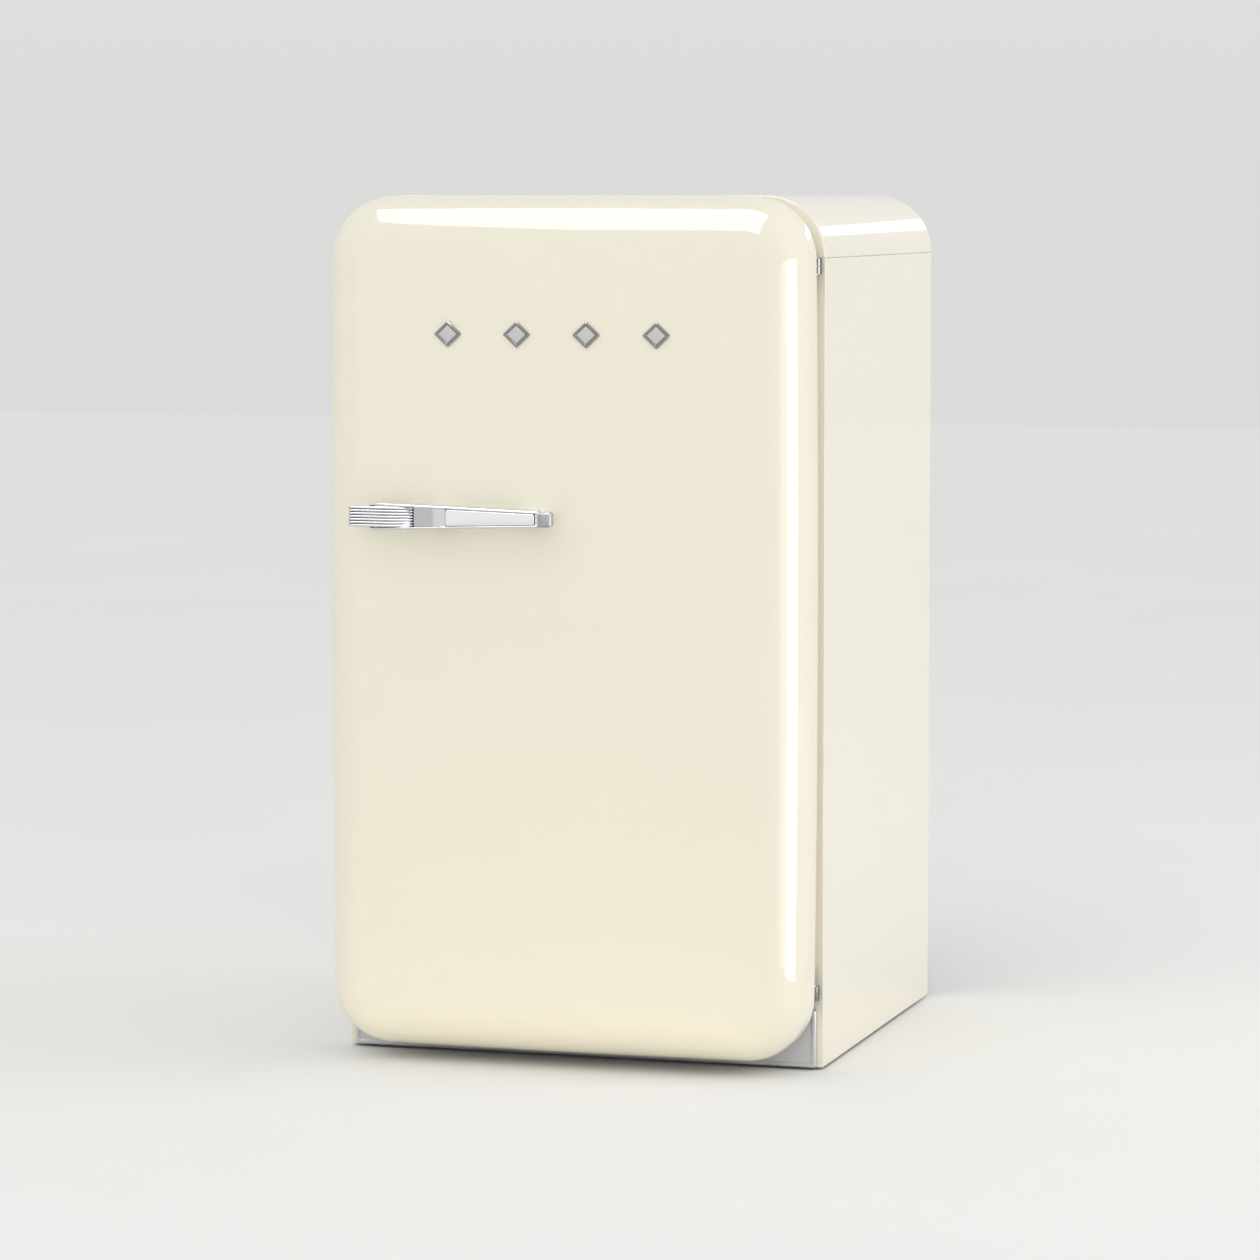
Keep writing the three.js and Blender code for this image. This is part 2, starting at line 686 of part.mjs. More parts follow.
function iceFlap() {
  const half = ICE_HALF - 4;
  const thick = 4;
  const outline = new THREE.Shape();
  outline.moveTo(FLAP_PIVOT_Y - thick, FLAP_BOTTOM);
  outline.lineTo(FLAP_PIVOT_Y + thick, FLAP_BOTTOM);
  outline.absarc(FLAP_PIVOT_Y, FLAP_PIVOT_Z, thick, 0, 2 * QUARTER, false);
  outline.closePath();
  const lip = block(-70, 70, FLAP_PIVOT_Y - thick - 4, FLAP_PIVOT_Y, FLAP_BOTTOM, FLAP_BOTTOM + 6);
  const bore = rod("x", 2, -2 * half, 2 * half, [0, FLAP_PIVOT_Y, FLAP_PIVOT_Z], 12);
  return cut(join(alongX(outline, -half, half), lip), bore);
}

function controlHousing() {
  const outline = roundedOutline(-60, 64, 690, 740, 10);
  const shaftHole = rod("x", 3.8, CONTROL_LEFT - 1, CONTROL_LEFT + 14, [0, KNOB_Y, KNOB_Z]);
  return cut(alongX(outline, CONTROL_LEFT, ROOM_HALF - GAP), shaftHole);
}

// The thermostat knob: a grip with finger flats on a round skirt, and a stem into the housing.
function thermostatKnob() {
  const at = [0, KNOB_Y, KNOB_Z];
  const skirt = rod("x", 17, CONTROL_LEFT - 5, CONTROL_LEFT - GAP, at, 24);
  const grip = rod("x", 13, CONTROL_LEFT - 13, CONTROL_LEFT - 4, at, 12);
  const stem = rod("x", 3.2, CONTROL_LEFT - 5, CONTROL_LEFT + 10, at, 12);
  const pointer = block(
    CONTROL_LEFT - 14,
    CONTROL_LEFT - 11,
    KNOB_Y - 1,
    KNOB_Y + 1,
    KNOB_Z + 3,
    KNOB_Z + 14,
  );
  return cut(join(skirt, grip, stem), pointer);
}

function lampLens() {
  const outline = roundedOutline(12, 56, 697, 733, 8);
  return alongX(outline, CONTROL_LEFT - 11, CONTROL_LEFT - GAP);
}

const DRAWER_HALF = 214;
const DRAWER_FRONT = -98;
const DRAWER_BOTTOM = 96;
const DRAWER_TOP = 244;
const DRAWER_CHAMFER_WIDTH = 15; // clears the liner's rounded floor corners
const DRAWER_CHAMFER_HEIGHT = 12;

function crisperDrawer() {
  const back = STEP_FRONT - 4;
  const section = (inset, top) => {
    const half = DRAWER_HALF - inset;
    const bottom = DRAWER_BOTTOM + inset;
    const floor = half - DRAWER_CHAMFER_WIDTH + inset / 2;
    const side = bottom + DRAWER_CHAMFER_HEIGHT - inset / 2;
    const right = [[floor, bottom], [half, side], [half, top]];
    const left = right.map(([x, z]) => [-x, z]).reverse();
    return polygon([...left, ...right]);
  };
  const outer = alongY(section(0, DRAWER_TOP), DRAWER_FRONT, back);
  const inner = alongY(section(WALL, DRAWER_TOP + 1), DRAWER_FRONT + WALL, back - WALL);
  const lip = block(-80, 80, DRAWER_FRONT - 6, DRAWER_FRONT + 1, DRAWER_TOP - 12, DRAWER_TOP - 4);
  return join(cut(outer, inner), lip);
}

const SHELF_NAMES = ["crisper_cover", "lower_shelf", "upper_shelf"];
SHELF_LEVELS.forEach((level, i) => {
  addPiece(interior, `${SHELF_NAMES[i]}_glass`, shelfGlass(level), glass);
  addPiece(interior, `${SHELF_NAMES[i]}_trim`, shelfTrim(level), whitePlastic);
});
addPiece(interior, "ice_box", iceBox(), aluminium);
addPiece(interior, "ice_flap", iceFlap(), clearPlastic);
const flapPin = rod("x", 1.6, -ICE_HALF, ICE_HALF, [0, FLAP_PIVOT_Y, FLAP_PIVOT_Z], 12);
addPiece(interior, "ice_flap_pin", flapPin, brushedSteel);
addPiece(interior, "control_housing", controlHousing(), whitePlastic);
addPiece(interior, "thermostat_knob", thermostatKnob(), whitePlastic);
addPiece(interior, "lamp_lens", lampLens(), clearPlastic);
addPiece(interior, "crisper_drawer", crisperDrawer(), clearPlastic);

// ---------- door ----------
const DOOR_HALF_HEIGHT = (TOP - DOOR_BOTTOM) / 2;
const DOOR_MIDDLE = (TOP + DOOR_BOTTOM) / 2;

// The door's outline, a rounded rectangle whose four sides bow out slightly, inset all round.
function doorOutline(inset) {
  const half = HALF_WIDTH - inset;
  const halfHeight = DOOR_HALF_HEIGHT - inset;
  const radius = Math.max(DOOR_CORNER - inset, 6);
  const cornerSteps = 6;
  const points = [];
  const corners = [[1, -1, -1], [1, 1, 0], [-1, 1, 1], [-1, -1, 2]];
  corners.forEach(([sideX, sideZ, quarter]) => {
    for (let i = 0; i <= cornerSteps; i += 1) {
      const turn = (quarter + i / cornerSteps) * QUARTER;
      const x = sideX * (half - radius) + radius * Math.cos(turn);
      const z = sideZ * (halfHeight - radius) + radius * Math.sin(turn);
      points.push([x, z]);
    }
    if (sideX === sideZ) {
      points.push([0, sideZ * halfHeight]);
    } else {
      points.push([sideX * half, -halfHeight / 3], [sideX * half, halfHeight / 3]);
      if (sideX < 0) points.push(...points.splice(-2).reverse());
    }
  });
  return points.map(([x, z]) => [
    x * (1 - DOOR_SIDE_BOW * (z / DOOR_HALF_HEIGHT) ** 2),
    DOOR_MIDDLE + z * (1 - DOOR_TOP_BOW * (x / HALF_WIDTH) ** 2),
  ]);
}

// The door's crowned body with its surface moved in by an offset.
function doorBody(offset) {
  const rings = [];
  const rearRadius = DOOR_REAR_ROUND - offset;
  const rearSteps = 3;
  for (let i = 0; i <= rearSteps; i += 1) {
    const turn = (i / rearSteps) * QUARTER;
    const inset = offset + rearRadius * (1 - Math.sin(turn));
    rings.push([inset, DOOR_BACK + offset + rearRadius * (1 - Math.cos(turn))]);
  }
  const frontRadius = DOOR_ROUNDOVER - offset;
  const frontSteps = 6;
  for (let i = 0; i <= frontSteps; i += 1) {
    const turn = (i / frontSteps) * QUARTER;
    const inset = offset + frontRadius * (1 - Math.cos(turn));
    rings.push([inset, DOOR_EDGE - DOOR_ROUNDOVER + frontRadius * Math.sin(turn)]);
  }
  return loft(
    rings.map(([inset, depth]) => ({ outline: doorOutline(inset), depth })),
    DOOR_CROWN - offset,
  );
}

// Skins the outlines from back to front, with a flat back and a shallow crowned front.
function loft(rings, crownDepth) {
  const count = rings[0].outline.length;
  const positions = rings.flatMap(({ outline, depth }) =>
    outline.flatMap(([x, z]) => [x, depthToY(depth), z]),
  );
  const backCentre = positions.length / 3;
  positions.push(0, depthToY(rings[0].depth), DOOR_MIDDLE);
  positions.push(0, depthToY(crownDepth), DOOR_MIDDLE);
  const index = [];
  const lastRing = (rings.length - 1) * count;
  for (let s = 0; s < count; s += 1) {
    const next = (s + 1) % count;
    for (let ring = 0; ring < lastRing; ring += count) {
      const [a, b] = [ring + s, ring + next];
      index.push(a, b, b + count, a, b + count, a + count);
    }
    index.push(backCentre, next, s);
    index.push(backCentre + 1, lastRing + s, lastRing + next);
  }
  return facingOut(positions, index);
}

const doorSlab = (inset, depth0, depth1) =>
  alongY(polygon(doorOutline(inset)), depthToY(depth1), depthToY(depth0));

function doorShell() {
  const hollow = doorBody(DOOR_SHEET);
  const opening = doorSlab(DOOR_LIP, DOOR_BACK - 1, DOOR_BACK + DOOR_SHEET + 1);
  return cut(doorBody(0), hollow, opening);
}

// Rounded slabs of the door liner: the dike and the tub between the dikes, grown by a margin.
function dikeSlab(margin, depth0, depth1) {
  const half = DIKE_HALF + margin;
  const outline = roundedOutline(-half, half, DIKE_BOTTOM - margin, DIKE_TOP + margin, 24 + margin);
  return alongY(outline, depthToY(depth1), depthToY(depth0));
}

function tubSlab(margin, depth0, depth1) {
  const half = TUB_HALF + margin;
  const rim = DIKE_HALF - TUB_HALF;
  const bottom = DIKE_BOTTOM + rim - margin;
  const top = DIKE_TOP - rim + margin;
  return alongY(roundedOutline(-half, half, bottom, top, 12 + margin), depthToY(depth1), depthToY(depth0));
}

function doorLiner() {
  const flange = doorSlab(DOOR_LIP + GAP, DOOR_BACK, DOOR_BACK + WALL);
  const raised = cut(
    join(dikeSlab(0, DIKE_BACK, DOOR_BACK + WALL), flange),
    dikeSlab(-WALL, DIKE_BACK + WALL, DOOR_BACK + WALL + 1),
  );
  const tub = tubSlab(WALL, DIKE_BACK, TUB_FLOOR + WALL);
  return cut(join(raised, tub), tubSlab(0, DIKE_BACK - 1, TUB_FLOOR));
}

function doorFoam() {
  const behindFlange = DOOR_BACK + WALL + GAP;
  const filling = cut(
    doorBody(DOOR_SHEET + GAP),
    doorSlab(-20, DOOR_BACK - 1, behindFlange),
  );
  const dikeFilling = dikeSlab(-WALL - GAP, DIKE_BACK + WALL + GAP, behindFlange + 1);
  const tub = tubSlab(WALL + GAP, DIKE_BACK - 1, TUB_FLOOR + WALL + GAP);
  return cut(join(filling, dikeFilling), tub);
}

function doorGasket() {
  const inner = GASKET_HALF - GASKET_WIDTH;
  const outline = roundedOutline(-GASKET_HALF, GASKET_HALF, GASKET_BOTTOM, GASKET_TOP, 30);
  const hole = roundedOutline(
    -inner,
    inner,
    GASKET_BOTTOM + GASKET_WIDTH,
    GASKET_TOP - GASKET_WIDTH,
    30 - GASKET_WIDTH,
  );
  const back = FRONT - GAP;
  const face = depthToY(DOOR_BACK) + GAP;
  return cut(alongY(outline, face, back, 4), alongY(hole, face - 1, back + 1, 4));
}

function doorBin(bottom, height) {
  const front = depthToY(BIN_BACK_DEPTH);
  const back = depthToY(BIN_REACH);
  return openTub(-BIN_HALF, BIN_HALF, front, back, bottom, bottom + height, 16);
}

// A wire rail above the bottle bin, with its ends turned back into the dike's sides.
function bottleRail() {
  const y = depthToY(BIN_REACH + 6);
  const bar = rod("x", 2.5, -TUB_HALF + 2, TUB_HALF - 2, [0, y, 262], 12);
  const stay = (x) => rod("y", 2.5, depthToY(DIKE_BACK + 24), y, [x, 0, 262], 12);
  const endCap = (x) => rod("x", 5, x - 2, x + 2, [0, depthToY(DIKE_BACK + 24), 262], 12);
  const left = -TUB_HALF + 3;
  return join(bar, stay(left), stay(-left), endCap(left), endCap(-left));
}

const BINS = [
  ["bottle_bin", 132, 92],
  ["middle_bin", 420, 70],
  ["upper_bin", 640, 62],
];

addPiece(door, "door_outer_shell", doorShell(), enamel);
addPiece(door, "door_foam", doorFoam(), foam);
addPiece(door, "door_liner", doorLiner(), whitePlastic);
addPiece(door, "door_gasket", doorGasket(), whiteRubber);
BINS.forEach(([name, bottom, height]) => addPiece(door, name, doorBin(bottom, height), clearPlastic));
addPiece(door, "bottle_rail", bottleRail(), chrome);

// ---------- handle and emblem ----------
// Anything seated on the door is trimmed to the door's surface with a small gap.
const doorFace = doorBody(0).translate([0, -GAP, 0]);
const seated = (shape) => cut(shape, doorFace);

// The housing's half height at a place along its length.
function housingHalf(x) {
  const share = (x - HOUSING_LEFT) / (HOUSING_RIGHT - HOUSING_LEFT);
  return HOUSING_HALF_LEFT + share * (HOUSING_HALF_RIGHT - HOUSING_HALF_LEFT);
}

// A slab of the housing's tapering side view, with its edges moved in by a rim.
function taperSlab(x0, x1, rim, y0, y1) {
  const outline = polygon([
    [x0, HANDLE_Z - housingHalf(x0) + rim],
    [x1, HANDLE_Z - housingHalf(x1) + rim],
    [x1, HANDLE_Z + housingHalf(x1) - rim],
    [x0, HANDLE_Z + housingHalf(x0) - rim],
  ]);
  return alongY(outline, y0, y1);
}

const POCKET_DEPTH = 3;
const PANEL_RIM = 3.4;

function handleHousing() {
  const body = taperSlab(HOUSING_LEFT, HOUSING_RIGHT, 0, HOUSING_FRONT, HOUSING_BACK);
  const gripSlot = block(
    HOUSING_LEFT - 1,
    GRIP_RIGHT + GAP,
    HANDLE_FRONT - 1,
    HOUSING_BACK - 4,
    HANDLE_Z - GRIP_HALF - GAP,
    HANDLE_Z + GRIP_HALF + GAP,
  );
  const scoopRadius = 48;
  const scoopAt = [(GRIP_RIGHT + PANEL_LEFT) / 2 - 4, HOUSING_FRONT - scoopRadius + 6, 0];
  const scoop = rod(UP, scoopRadius, HANDLE_Z - GRIP_HALF, HANDLE_Z + GRIP_HALF, scoopAt, 40);
  const pocket = taperSlab(
    PANEL_LEFT,
    HOUSING_RIGHT - 2,
    PANEL_RIM,
    HOUSING_FRONT - 1,
    HOUSING_FRONT + POCKET_DEPTH,
  );
  return cut(body, gripSlot, scoop, pocket);
}

// A block with round ribs along its front, sliding into the housing's slot.
function handleGrip() {
  const radius = GRIP_HALF / GRIP_RIBS;
  const ribY = HANDLE_FRONT + radius;
  const outline = new THREE.Shape();
  const back = HOUSING_BACK - 4 - GAP;
  outline.moveTo(back, HANDLE_Z - GRIP_HALF);
  outline.lineTo(back, HANDLE_Z + GRIP_HALF);
  for (let rib = 0; rib < GRIP_RIBS; rib += 1) {
    const z = HANDLE_Z + GRIP_HALF - (2 * rib + 1) * radius;
    outline.absarc(ribY, z, radius, QUARTER, 3 * QUARTER, false);
  }
  outline.closePath();
  return alongX(outline, GRIP_LEFT, GRIP_RIGHT, 2);
}

function handlePanel() {
  return taperSlab(
    PANEL_LEFT + GAP,
    HOUSING_RIGHT - 2 - GAP,
    PANEL_RIM + GAP,
    HOUSING_FRONT + 0.5,
    HOUSING_FRONT + POCKET_DEPTH - GAP,
  );
}

function handleEndCap() {
  const half = HOUSING_HALF_RIGHT - 0.6;
  const outline = roundedOutline(
    HOUSING_RIGHT + GAP,
    HANDLE_RIGHT,
    HANDLE_Z - half,
    HANDLE_Z + half,
    3,
  );
  return alongY(outline, HOUSING_FRONT + 0.5, HOUSING_BACK);
}

function handlePost(x0, x1, half) {
  const y1 = depthToY(DOOR_EDGE - 4);
  return seated(block(x0, x1, HOUSING_BACK + GAP, y1, HANDLE_Z - half, HANDLE_Z + half));
}

const EMBLEM_HALF_WIDTH = 15;
const EMBLEM_HALF_HEIGHT = 14;
const EMBLEM_PITCH = 78;
const EMBLEM_CENTRE = -4;
const EMBLEM_Z = 799;

// A plain lozenge with a bevelled edge.
function emblem(x) {
  const front = depthToY(DOOR_CROWN + 2.5);
  const edge = depthToY(DOOR_CROWN + 1);
  const back = depthToY(DOOR_EDGE - 2);
  const ring = (y, scale) =>
    [[1, 0], [0, 1], [-1, 0], [0, -1]].flatMap(([across, up]) => [
      x + across * EMBLEM_HALF_WIDTH * scale,
      y,
      EMBLEM_Z + up * EMBLEM_HALF_HEIGHT * scale,
    ]);
  const positions = [...ring(back, 1), ...ring(edge, 1), ...ring(front, 0.8)];
  const index = [];
  for (let s = 0; s < 4; s += 1) {
    const next = (s + 1) % 4;
    for (const level of [0, 4]) {
      const [a, b] = [level + s, level + next];
      index.push(a, b, b + 4, a, b + 4, a + 4);
    }
  }
  index.push(0, 3, 2, 0, 2, 1, 8, 9, 10, 8, 10, 11);
  return seated(facingOut(positions, index));
}

addPiece(door, "handle_housing", handleHousing(), chrome);
addPiece(door, "handle_grip", handleGrip(), chrome);
addPiece(door, "handle_panel", handlePanel(), chrome);
addPiece(door, "handle_end_cap", handleEndCap(), brushedSteel);
addPiece(door, "handle_post_left", handlePost(-139, -113, 8), chrome);
addPiece(door, "handle_post_right", handlePost(-38, -10, 6.5), chrome);
[-1.5, -0.5, 0.5, 1.5].forEach((place, i) => {
  addPiece(door, `emblem_${i + 1}`, emblem(EMBLEM_CENTRE + place * EMBLEM_PITCH), chrome);
});

export default fridge;
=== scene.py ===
"""A retro compact refrigerator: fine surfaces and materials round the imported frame.

Metres, +Z up. The door faces -Y and its hinge is at +X. Each section makes one group of pieces.
"""
import math

import bmesh
import bpy
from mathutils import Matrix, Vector


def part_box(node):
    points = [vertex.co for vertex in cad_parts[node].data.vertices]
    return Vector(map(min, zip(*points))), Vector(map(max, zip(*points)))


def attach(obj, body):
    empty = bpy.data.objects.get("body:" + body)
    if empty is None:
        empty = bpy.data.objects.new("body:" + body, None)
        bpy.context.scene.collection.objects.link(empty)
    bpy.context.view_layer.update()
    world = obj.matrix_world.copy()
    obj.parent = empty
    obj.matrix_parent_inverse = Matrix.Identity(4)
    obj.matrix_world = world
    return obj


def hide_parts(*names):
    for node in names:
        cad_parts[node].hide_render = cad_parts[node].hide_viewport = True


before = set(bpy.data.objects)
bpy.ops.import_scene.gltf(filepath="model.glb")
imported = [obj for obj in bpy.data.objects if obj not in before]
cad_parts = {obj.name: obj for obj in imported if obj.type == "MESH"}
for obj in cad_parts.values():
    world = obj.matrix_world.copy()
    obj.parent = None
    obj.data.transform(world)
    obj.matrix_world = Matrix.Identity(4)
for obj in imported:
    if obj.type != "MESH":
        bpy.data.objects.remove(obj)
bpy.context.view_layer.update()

MM = 0.001
QUARTER = math.pi / 2
CABINET = "cabinet"
DOOR = "door"


def mm(*sizes):
    """Sizes given in millimetres, as metres."""
    return tuple(size * MM for size in sizes)


def pairs_mm(*pairs):
    """Pairs of sizes given in millimetres, as metres."""
    return [mm(*pair) for pair in pairs]


def quarter_turn(steps):
    """Angles from nothing to a quarter turn, in equal steps."""
    return [QUARTER * step / steps for step in range(steps + 1)]


def whole_turn(steps):
    """Angles round a circle, in equal steps."""
    return [4 * QUARTER * step / steps for step in range(steps)]


# ---------- places taken from the frame ----------


def box(node):
    low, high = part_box(node)
    return Vector(low), Vector(high)


def middle_and_half(node):
    """The middle of a node's box, and half of the box's size."""
    low, high = box(node)
    return (low + high) / 2, (high - low) / 2


panel_low, panel_high = box("side_panel_right")
cover_low, cover_high = box("top_cover")
door_low = box("door_outer_shell")[0]
HALF_WIDTH = panel_high.x
FRONT = panel_low.y
BACK = panel_high.y
SEAM = cover_low.z
TOP = cover_high.z
DOOR_BOTTOM = door_low.z
DOOR_HALF_HEIGHT = (TOP - DOOR_BOTTOM) / 2
DOOR_MIDDLE = (TOP + DOOR_BOTTOM) / 2

# ---------- driving sizes of the fine surfaces ----------
COVER_RADIUS = 66.5 * MM
ENAMEL_SHEET = 0.9 * MM
DOOR_BACK = 20 * MM        # depths are measured forward from the cabinet's front plane
DOOR_EDGE = 100 * MM
DOOR_CROWN = 5 * MM
DOOR_CORNER = 67 * MM
DOOR_ROUNDOVER = 50 * MM
DOOR_REAR_ROUND = 8 * MM
DOOR_REAR_RETURN = 26 * MM
DOOR_SIDE_BOW = 0.0133
DOOR_TOP_BOW = 0.004


# ---------- camera ----------


def make_camera():
    """A long lens, a little to the right of the front and above the top, tilted slightly down."""
    data = bpy.data.cameras.new("camera")
    camera = bpy.data.objects.new("camera", data)
    bpy.context.collection.objects.link(camera)
    bpy.context.scene.camera = camera
    data.lens = 137.02
    data.sensor_width = 36
    data.shift_y = -0.06
    data.clip_start = 0.1
    data.clip_end = 60
    camera.location = (1.5468, -5.1875, 0.9519)
    turn = math.radians(16.649)
    tilt = math.radians(4.328)
    camera.rotation_euler = (QUARTER - tilt, 0, turn)


# ---------- materials ----------


def srgb(red, green, blue):
    """A colour given on the 0 to 255 display scale, as linear values."""
    def linear(value):
        share = value / 255
        return share / 12.92 if share <= 0.04045 else ((share + 0.055) / 1.055) ** 2.4
    return (linear(red), linear(green), linear(blue), 1.0)


def scaled(color, factor):
    return tuple(min(channel * factor, 1.0) for channel in color[:3]) + (1.0,)


class Finish:
    """A Principled material whose tone, roughness and relief all come from procedural patterns."""

    def __init__(self, name, stretch=(1, 1, 1), **sockets):
        self.material = bpy.data.materials.new(name)
        self.material.use_nodes = True
        self.nodes = self.material.node_tree.nodes
        self.links = self.material.node_tree.links
        self.shader = self.nodes["Principled BSDF"]
        for socket, value in sockets.items():
            self.shader.inputs[socket.replace("_", " ")].default_value = value
        coordinates = self.nodes.new("ShaderNodeTexCoord")
        self.mapping = self.nodes.new("ShaderNodeMapping")
        self.mapping.inputs["Scale"].default_value = stretch
        self.links.new(coordinates.outputs["Object"], self.mapping.inputs["Vector"])

    def noise(self, scale, detail):
        node = self.nodes.new("ShaderNodeTexNoise")
        node.inputs["Scale"].default_value = scale
        node.inputs["Detail"].default_value = detail
        self.links.new(self.mapping.outputs["Vector"], node.inputs["Vector"])
        return node.outputs["Fac"]

    def crystals(self, scale):
        """Flat cells of different values, as on galvanised sheet."""
        node = self.nodes.new("ShaderNodeTexVoronoi")
        node.inputs["Scale"].default_value = scale
        self.links.new(self.mapping.outputs["Vector"], node.inputs["Vector"])
        return node.outputs["Color"]

    def tone(self, color, spread, scale, pattern=None):
        """The base colour, lighter and darker by a share of itself."""
        ramp = self.nodes.new("ShaderNodeValToRGB")
        ramp.color_ramp.elements[0].position = 0.3
        ramp.color_ramp.elements[1].position = 0.7
        ramp.color_ramp.elements[0].color = scaled(color, 1 - spread)
        ramp.color_ramp.elements[1].color = scaled(color, 1 + spread)
        source = pattern(scale) if pattern else self.noise(scale, 3.0)
        self.links.new(source, ramp.inputs["Fac"])
        self.links.new(ramp.outputs["Color"], self.shader.inputs["Base Color"])

    def rough(self, low, high, scale):
        node = self.nodes.new("ShaderNodeMapRange")
        node.inputs["From Min"].default_value = 0.3
        node.inputs["From Max"].default_value = 0.7
        node.inputs["To Min"].default_value = low
        node.inputs["To Max"].default_value = high
        self.links.new(self.noise(scale, 4.0), node.inputs["Value"])
        self.links.new(node.outputs["Result"], self.shader.inputs["Roughness"])

    def relief(self, height, scale):
        """The last step: fine bumps, a height in metres. It gives back the finished material."""
        bump = self.nodes.new("ShaderNodeBump")
        bump.inputs["Distance"].default_value = height
        bump.inputs["Strength"].default_value = 1.0
        self.links.new(self.noise(scale, 2.0), bump.inputs["Height"])
        self.links.new(bump.outputs["Normal"], self.shader.inputs["Normal"])
        return self.material


def cream_enamel():
    look = Finish("cream_enamel", Coat_Weight=1.0, Coat_Roughness=0.015, Specular_IOR_Level=0.05)
    look.tone(srgb(241, 235, 217), 0.003, 5.0)
    look.rough(0.3, 0.36, 40.0)
    return look.relief(0.0012 * MM, 700.0)


def silver_paint():
    look = Finish("silver_paint", stretch=(1, 1, 14), Metallic=0.3)
    look.tone(srgb(204, 204, 207), 0.02, 40.0)
    look.rough(0.3, 0.42, 90.0)
    return look.relief(0.004 * MM, 900.0)


def chrome():
    look = Finish("chrome", Metallic=1.0)
    look.tone(srgb(212, 213, 216), 0.012, 20.0)
    look.rough(0.05, 0.11, 120.0)
    return look.relief(0.0015 * MM, 500.0)


def satin_chrome():
    look = Finish("satin_chrome", stretch=(1, 1, 18), Metallic=1.0)
    look.tone(srgb(236, 236, 238), 0.02, 160.0)
    look.rough(0.16, 0.24, 400.0)
    return look.relief(0.002 * MM, 900.0)


def cap_steel():
    look = Finish("cap_steel", stretch=(24, 1, 1), Metallic=1.0)
    look.tone(srgb(172, 173, 175), 0.05, 90.0)
    look.rough(0.5, 0.6, 200.0)
    return look.relief(0.01 * MM, 300.0)


def emblem_edge():
    look = Finish("emblem_edge", Metallic=1.0)
    look.tone(srgb(146, 145, 143), 0.03, 60.0)
    look.rough(0.1, 0.18, 200.0)
    return look.relief(0.002 * MM, 700.0)


def emblem_steel():
    look = Finish("emblem_steel", stretch=(1, 1, 14), Metallic=1.0)
    look.tone(srgb(200, 199, 200), 0.03, 120.0)
    look.rough(0.3, 0.4, 300.0)
    return look.relief(0.004 * MM, 700.0)


def hinge_steel():
    look = Finish("hinge_steel", Metallic=1.0)
    look.tone(srgb(122, 121, 119), 0.08, 90.0)
    look.rough(0.14, 0.22, 200.0)
    return look.relief(0.01 * MM, 300.0)


def brushed_steel():
    look = Finish("brushed_steel", stretch=(18, 1, 1), Metallic=1.0, Anisotropic=0.4)
    look.tone(srgb(186, 187, 190), 0.05, 160.0)
    look.rough(0.3, 0.42, 300.0)
    return look.relief(0.006 * MM, 900.0)


def zinc_steel():
    look = Finish("zinc_steel", Metallic=0.9)
    look.tone(srgb(168, 172, 175), 0.09, 70.0, pattern=look.crystals)
    look.rough(0.36, 0.52, 50.0)
    return look.relief(0.01 * MM, 160.0)


def aluminium():
    look = Finish("aluminium", stretch=(1, 10, 1), Metallic=0.6)
    look.tone(srgb(205, 207, 209), 0.04, 60.0)
    look.rough(0.3, 0.44, 120.0)
    return look.relief(0.008 * MM, 500.0)


def white_plastic():
    look = Finish("white_plastic", Specular_IOR_Level=0.45, Subsurface_Weight=0.05)
    look.tone(srgb(240, 241, 238), 0.008, 12.0)
    look.rough(0.3, 0.38, 80.0)
    return look.relief(0.01 * MM, 700.0)


def clear_plastic():
    look = Finish("clear_plastic", Alpha=0.24, Coat_Weight=1.0, Coat_Roughness=0.03)
    look.tone(srgb(236, 243, 246), 0.01, 20.0)
    look.rough(0.08, 0.16, 60.0)
    return look.relief(0.01 * MM, 60.0)


def frosted_plastic():
    look = Finish("frosted_plastic", Alpha=0.7)
    look.tone(srgb(232, 240, 244), 0.01, 20.0)
    look.rough(0.38, 0.5, 200.0)
    return look.relief(0.02 * MM, 900.0)


def shelf_glass():
    look = Finish("shelf_glass", Alpha=0.26, Coat_Weight=1.0, Coat_Roughness=0.01)
    look.tone(srgb(212, 232, 225), 0.01, 8.0)
    look.rough(0.02, 0.06, 60.0)
    return look.relief(0.002 * MM, 30.0)


def white_rubber():
    look = Finish("white_rubber", Specular_IOR_Level=0.3)
    look.tone(srgb(226, 224, 214), 0.02, 30.0)
    look.rough(0.55, 0.7, 150.0)
    return look.relief(0.02 * MM, 900.0)


def black_paint():
    look = Finish("black_paint")
    look.tone(srgb(34, 35, 37), 0.12, 30.0)
    look.rough(0.34, 0.5, 90.0)
    return look.relief(0.02 * MM, 700.0)


def black_plastic():
    look = Finish("black_plastic", Specular_IOR_Level=0.4)
    look.tone(srgb(40, 41, 43), 0.1, 60.0)
    look.rough(0.5, 0.64, 200.0)
    return look.relief(0.03 * MM, 1500.0)


def copper():
    look = Finish("copper", Metallic=1.0)
    look.tone(srgb(190, 124, 92), 0.1, 60.0)
    look.rough(0.3, 0.44, 90.0)
    return look.relief(0.01 * MM, 300.0)


def insulating_foam():
    look = Finish("insulating_foam", Specular_IOR_Level=0.2)
    look.tone(srgb(236, 218, 160), 0.08, 200.0)
    look.rough(0.85, 0.95, 100.0)
    return look.relief(0.2 * MM, 900.0)


# Dark grey: the knob's printed pointer, and painted shade in the handle's grooves, round its insert and in
# the screws' recesses.
def dark_print_and_painted_shade():
    look = Finish("dark_print_and_painted_shade", Specular_IOR_Level=0.2)
    look.tone(srgb(44, 44, 46), 0.1, 60.0)
    look.rough(0.6, 0.75, 200.0)
    return look.relief(0.01 * MM, 900.0)


MATERIALS = {
    maker.__name__: maker()
    for maker in (
        cream_enamel, silver_paint, chrome, satin_chrome, cap_steel, emblem_edge, emblem_steel,
        hinge_steel, brushed_steel, zinc_steel, aluminium, white_plastic, clear_plastic,
        frosted_plastic, shelf_glass, white_rubber, black_paint, black_plastic, copper,
        insulating_foam, dark_print_and_painted_shade,
    )
}


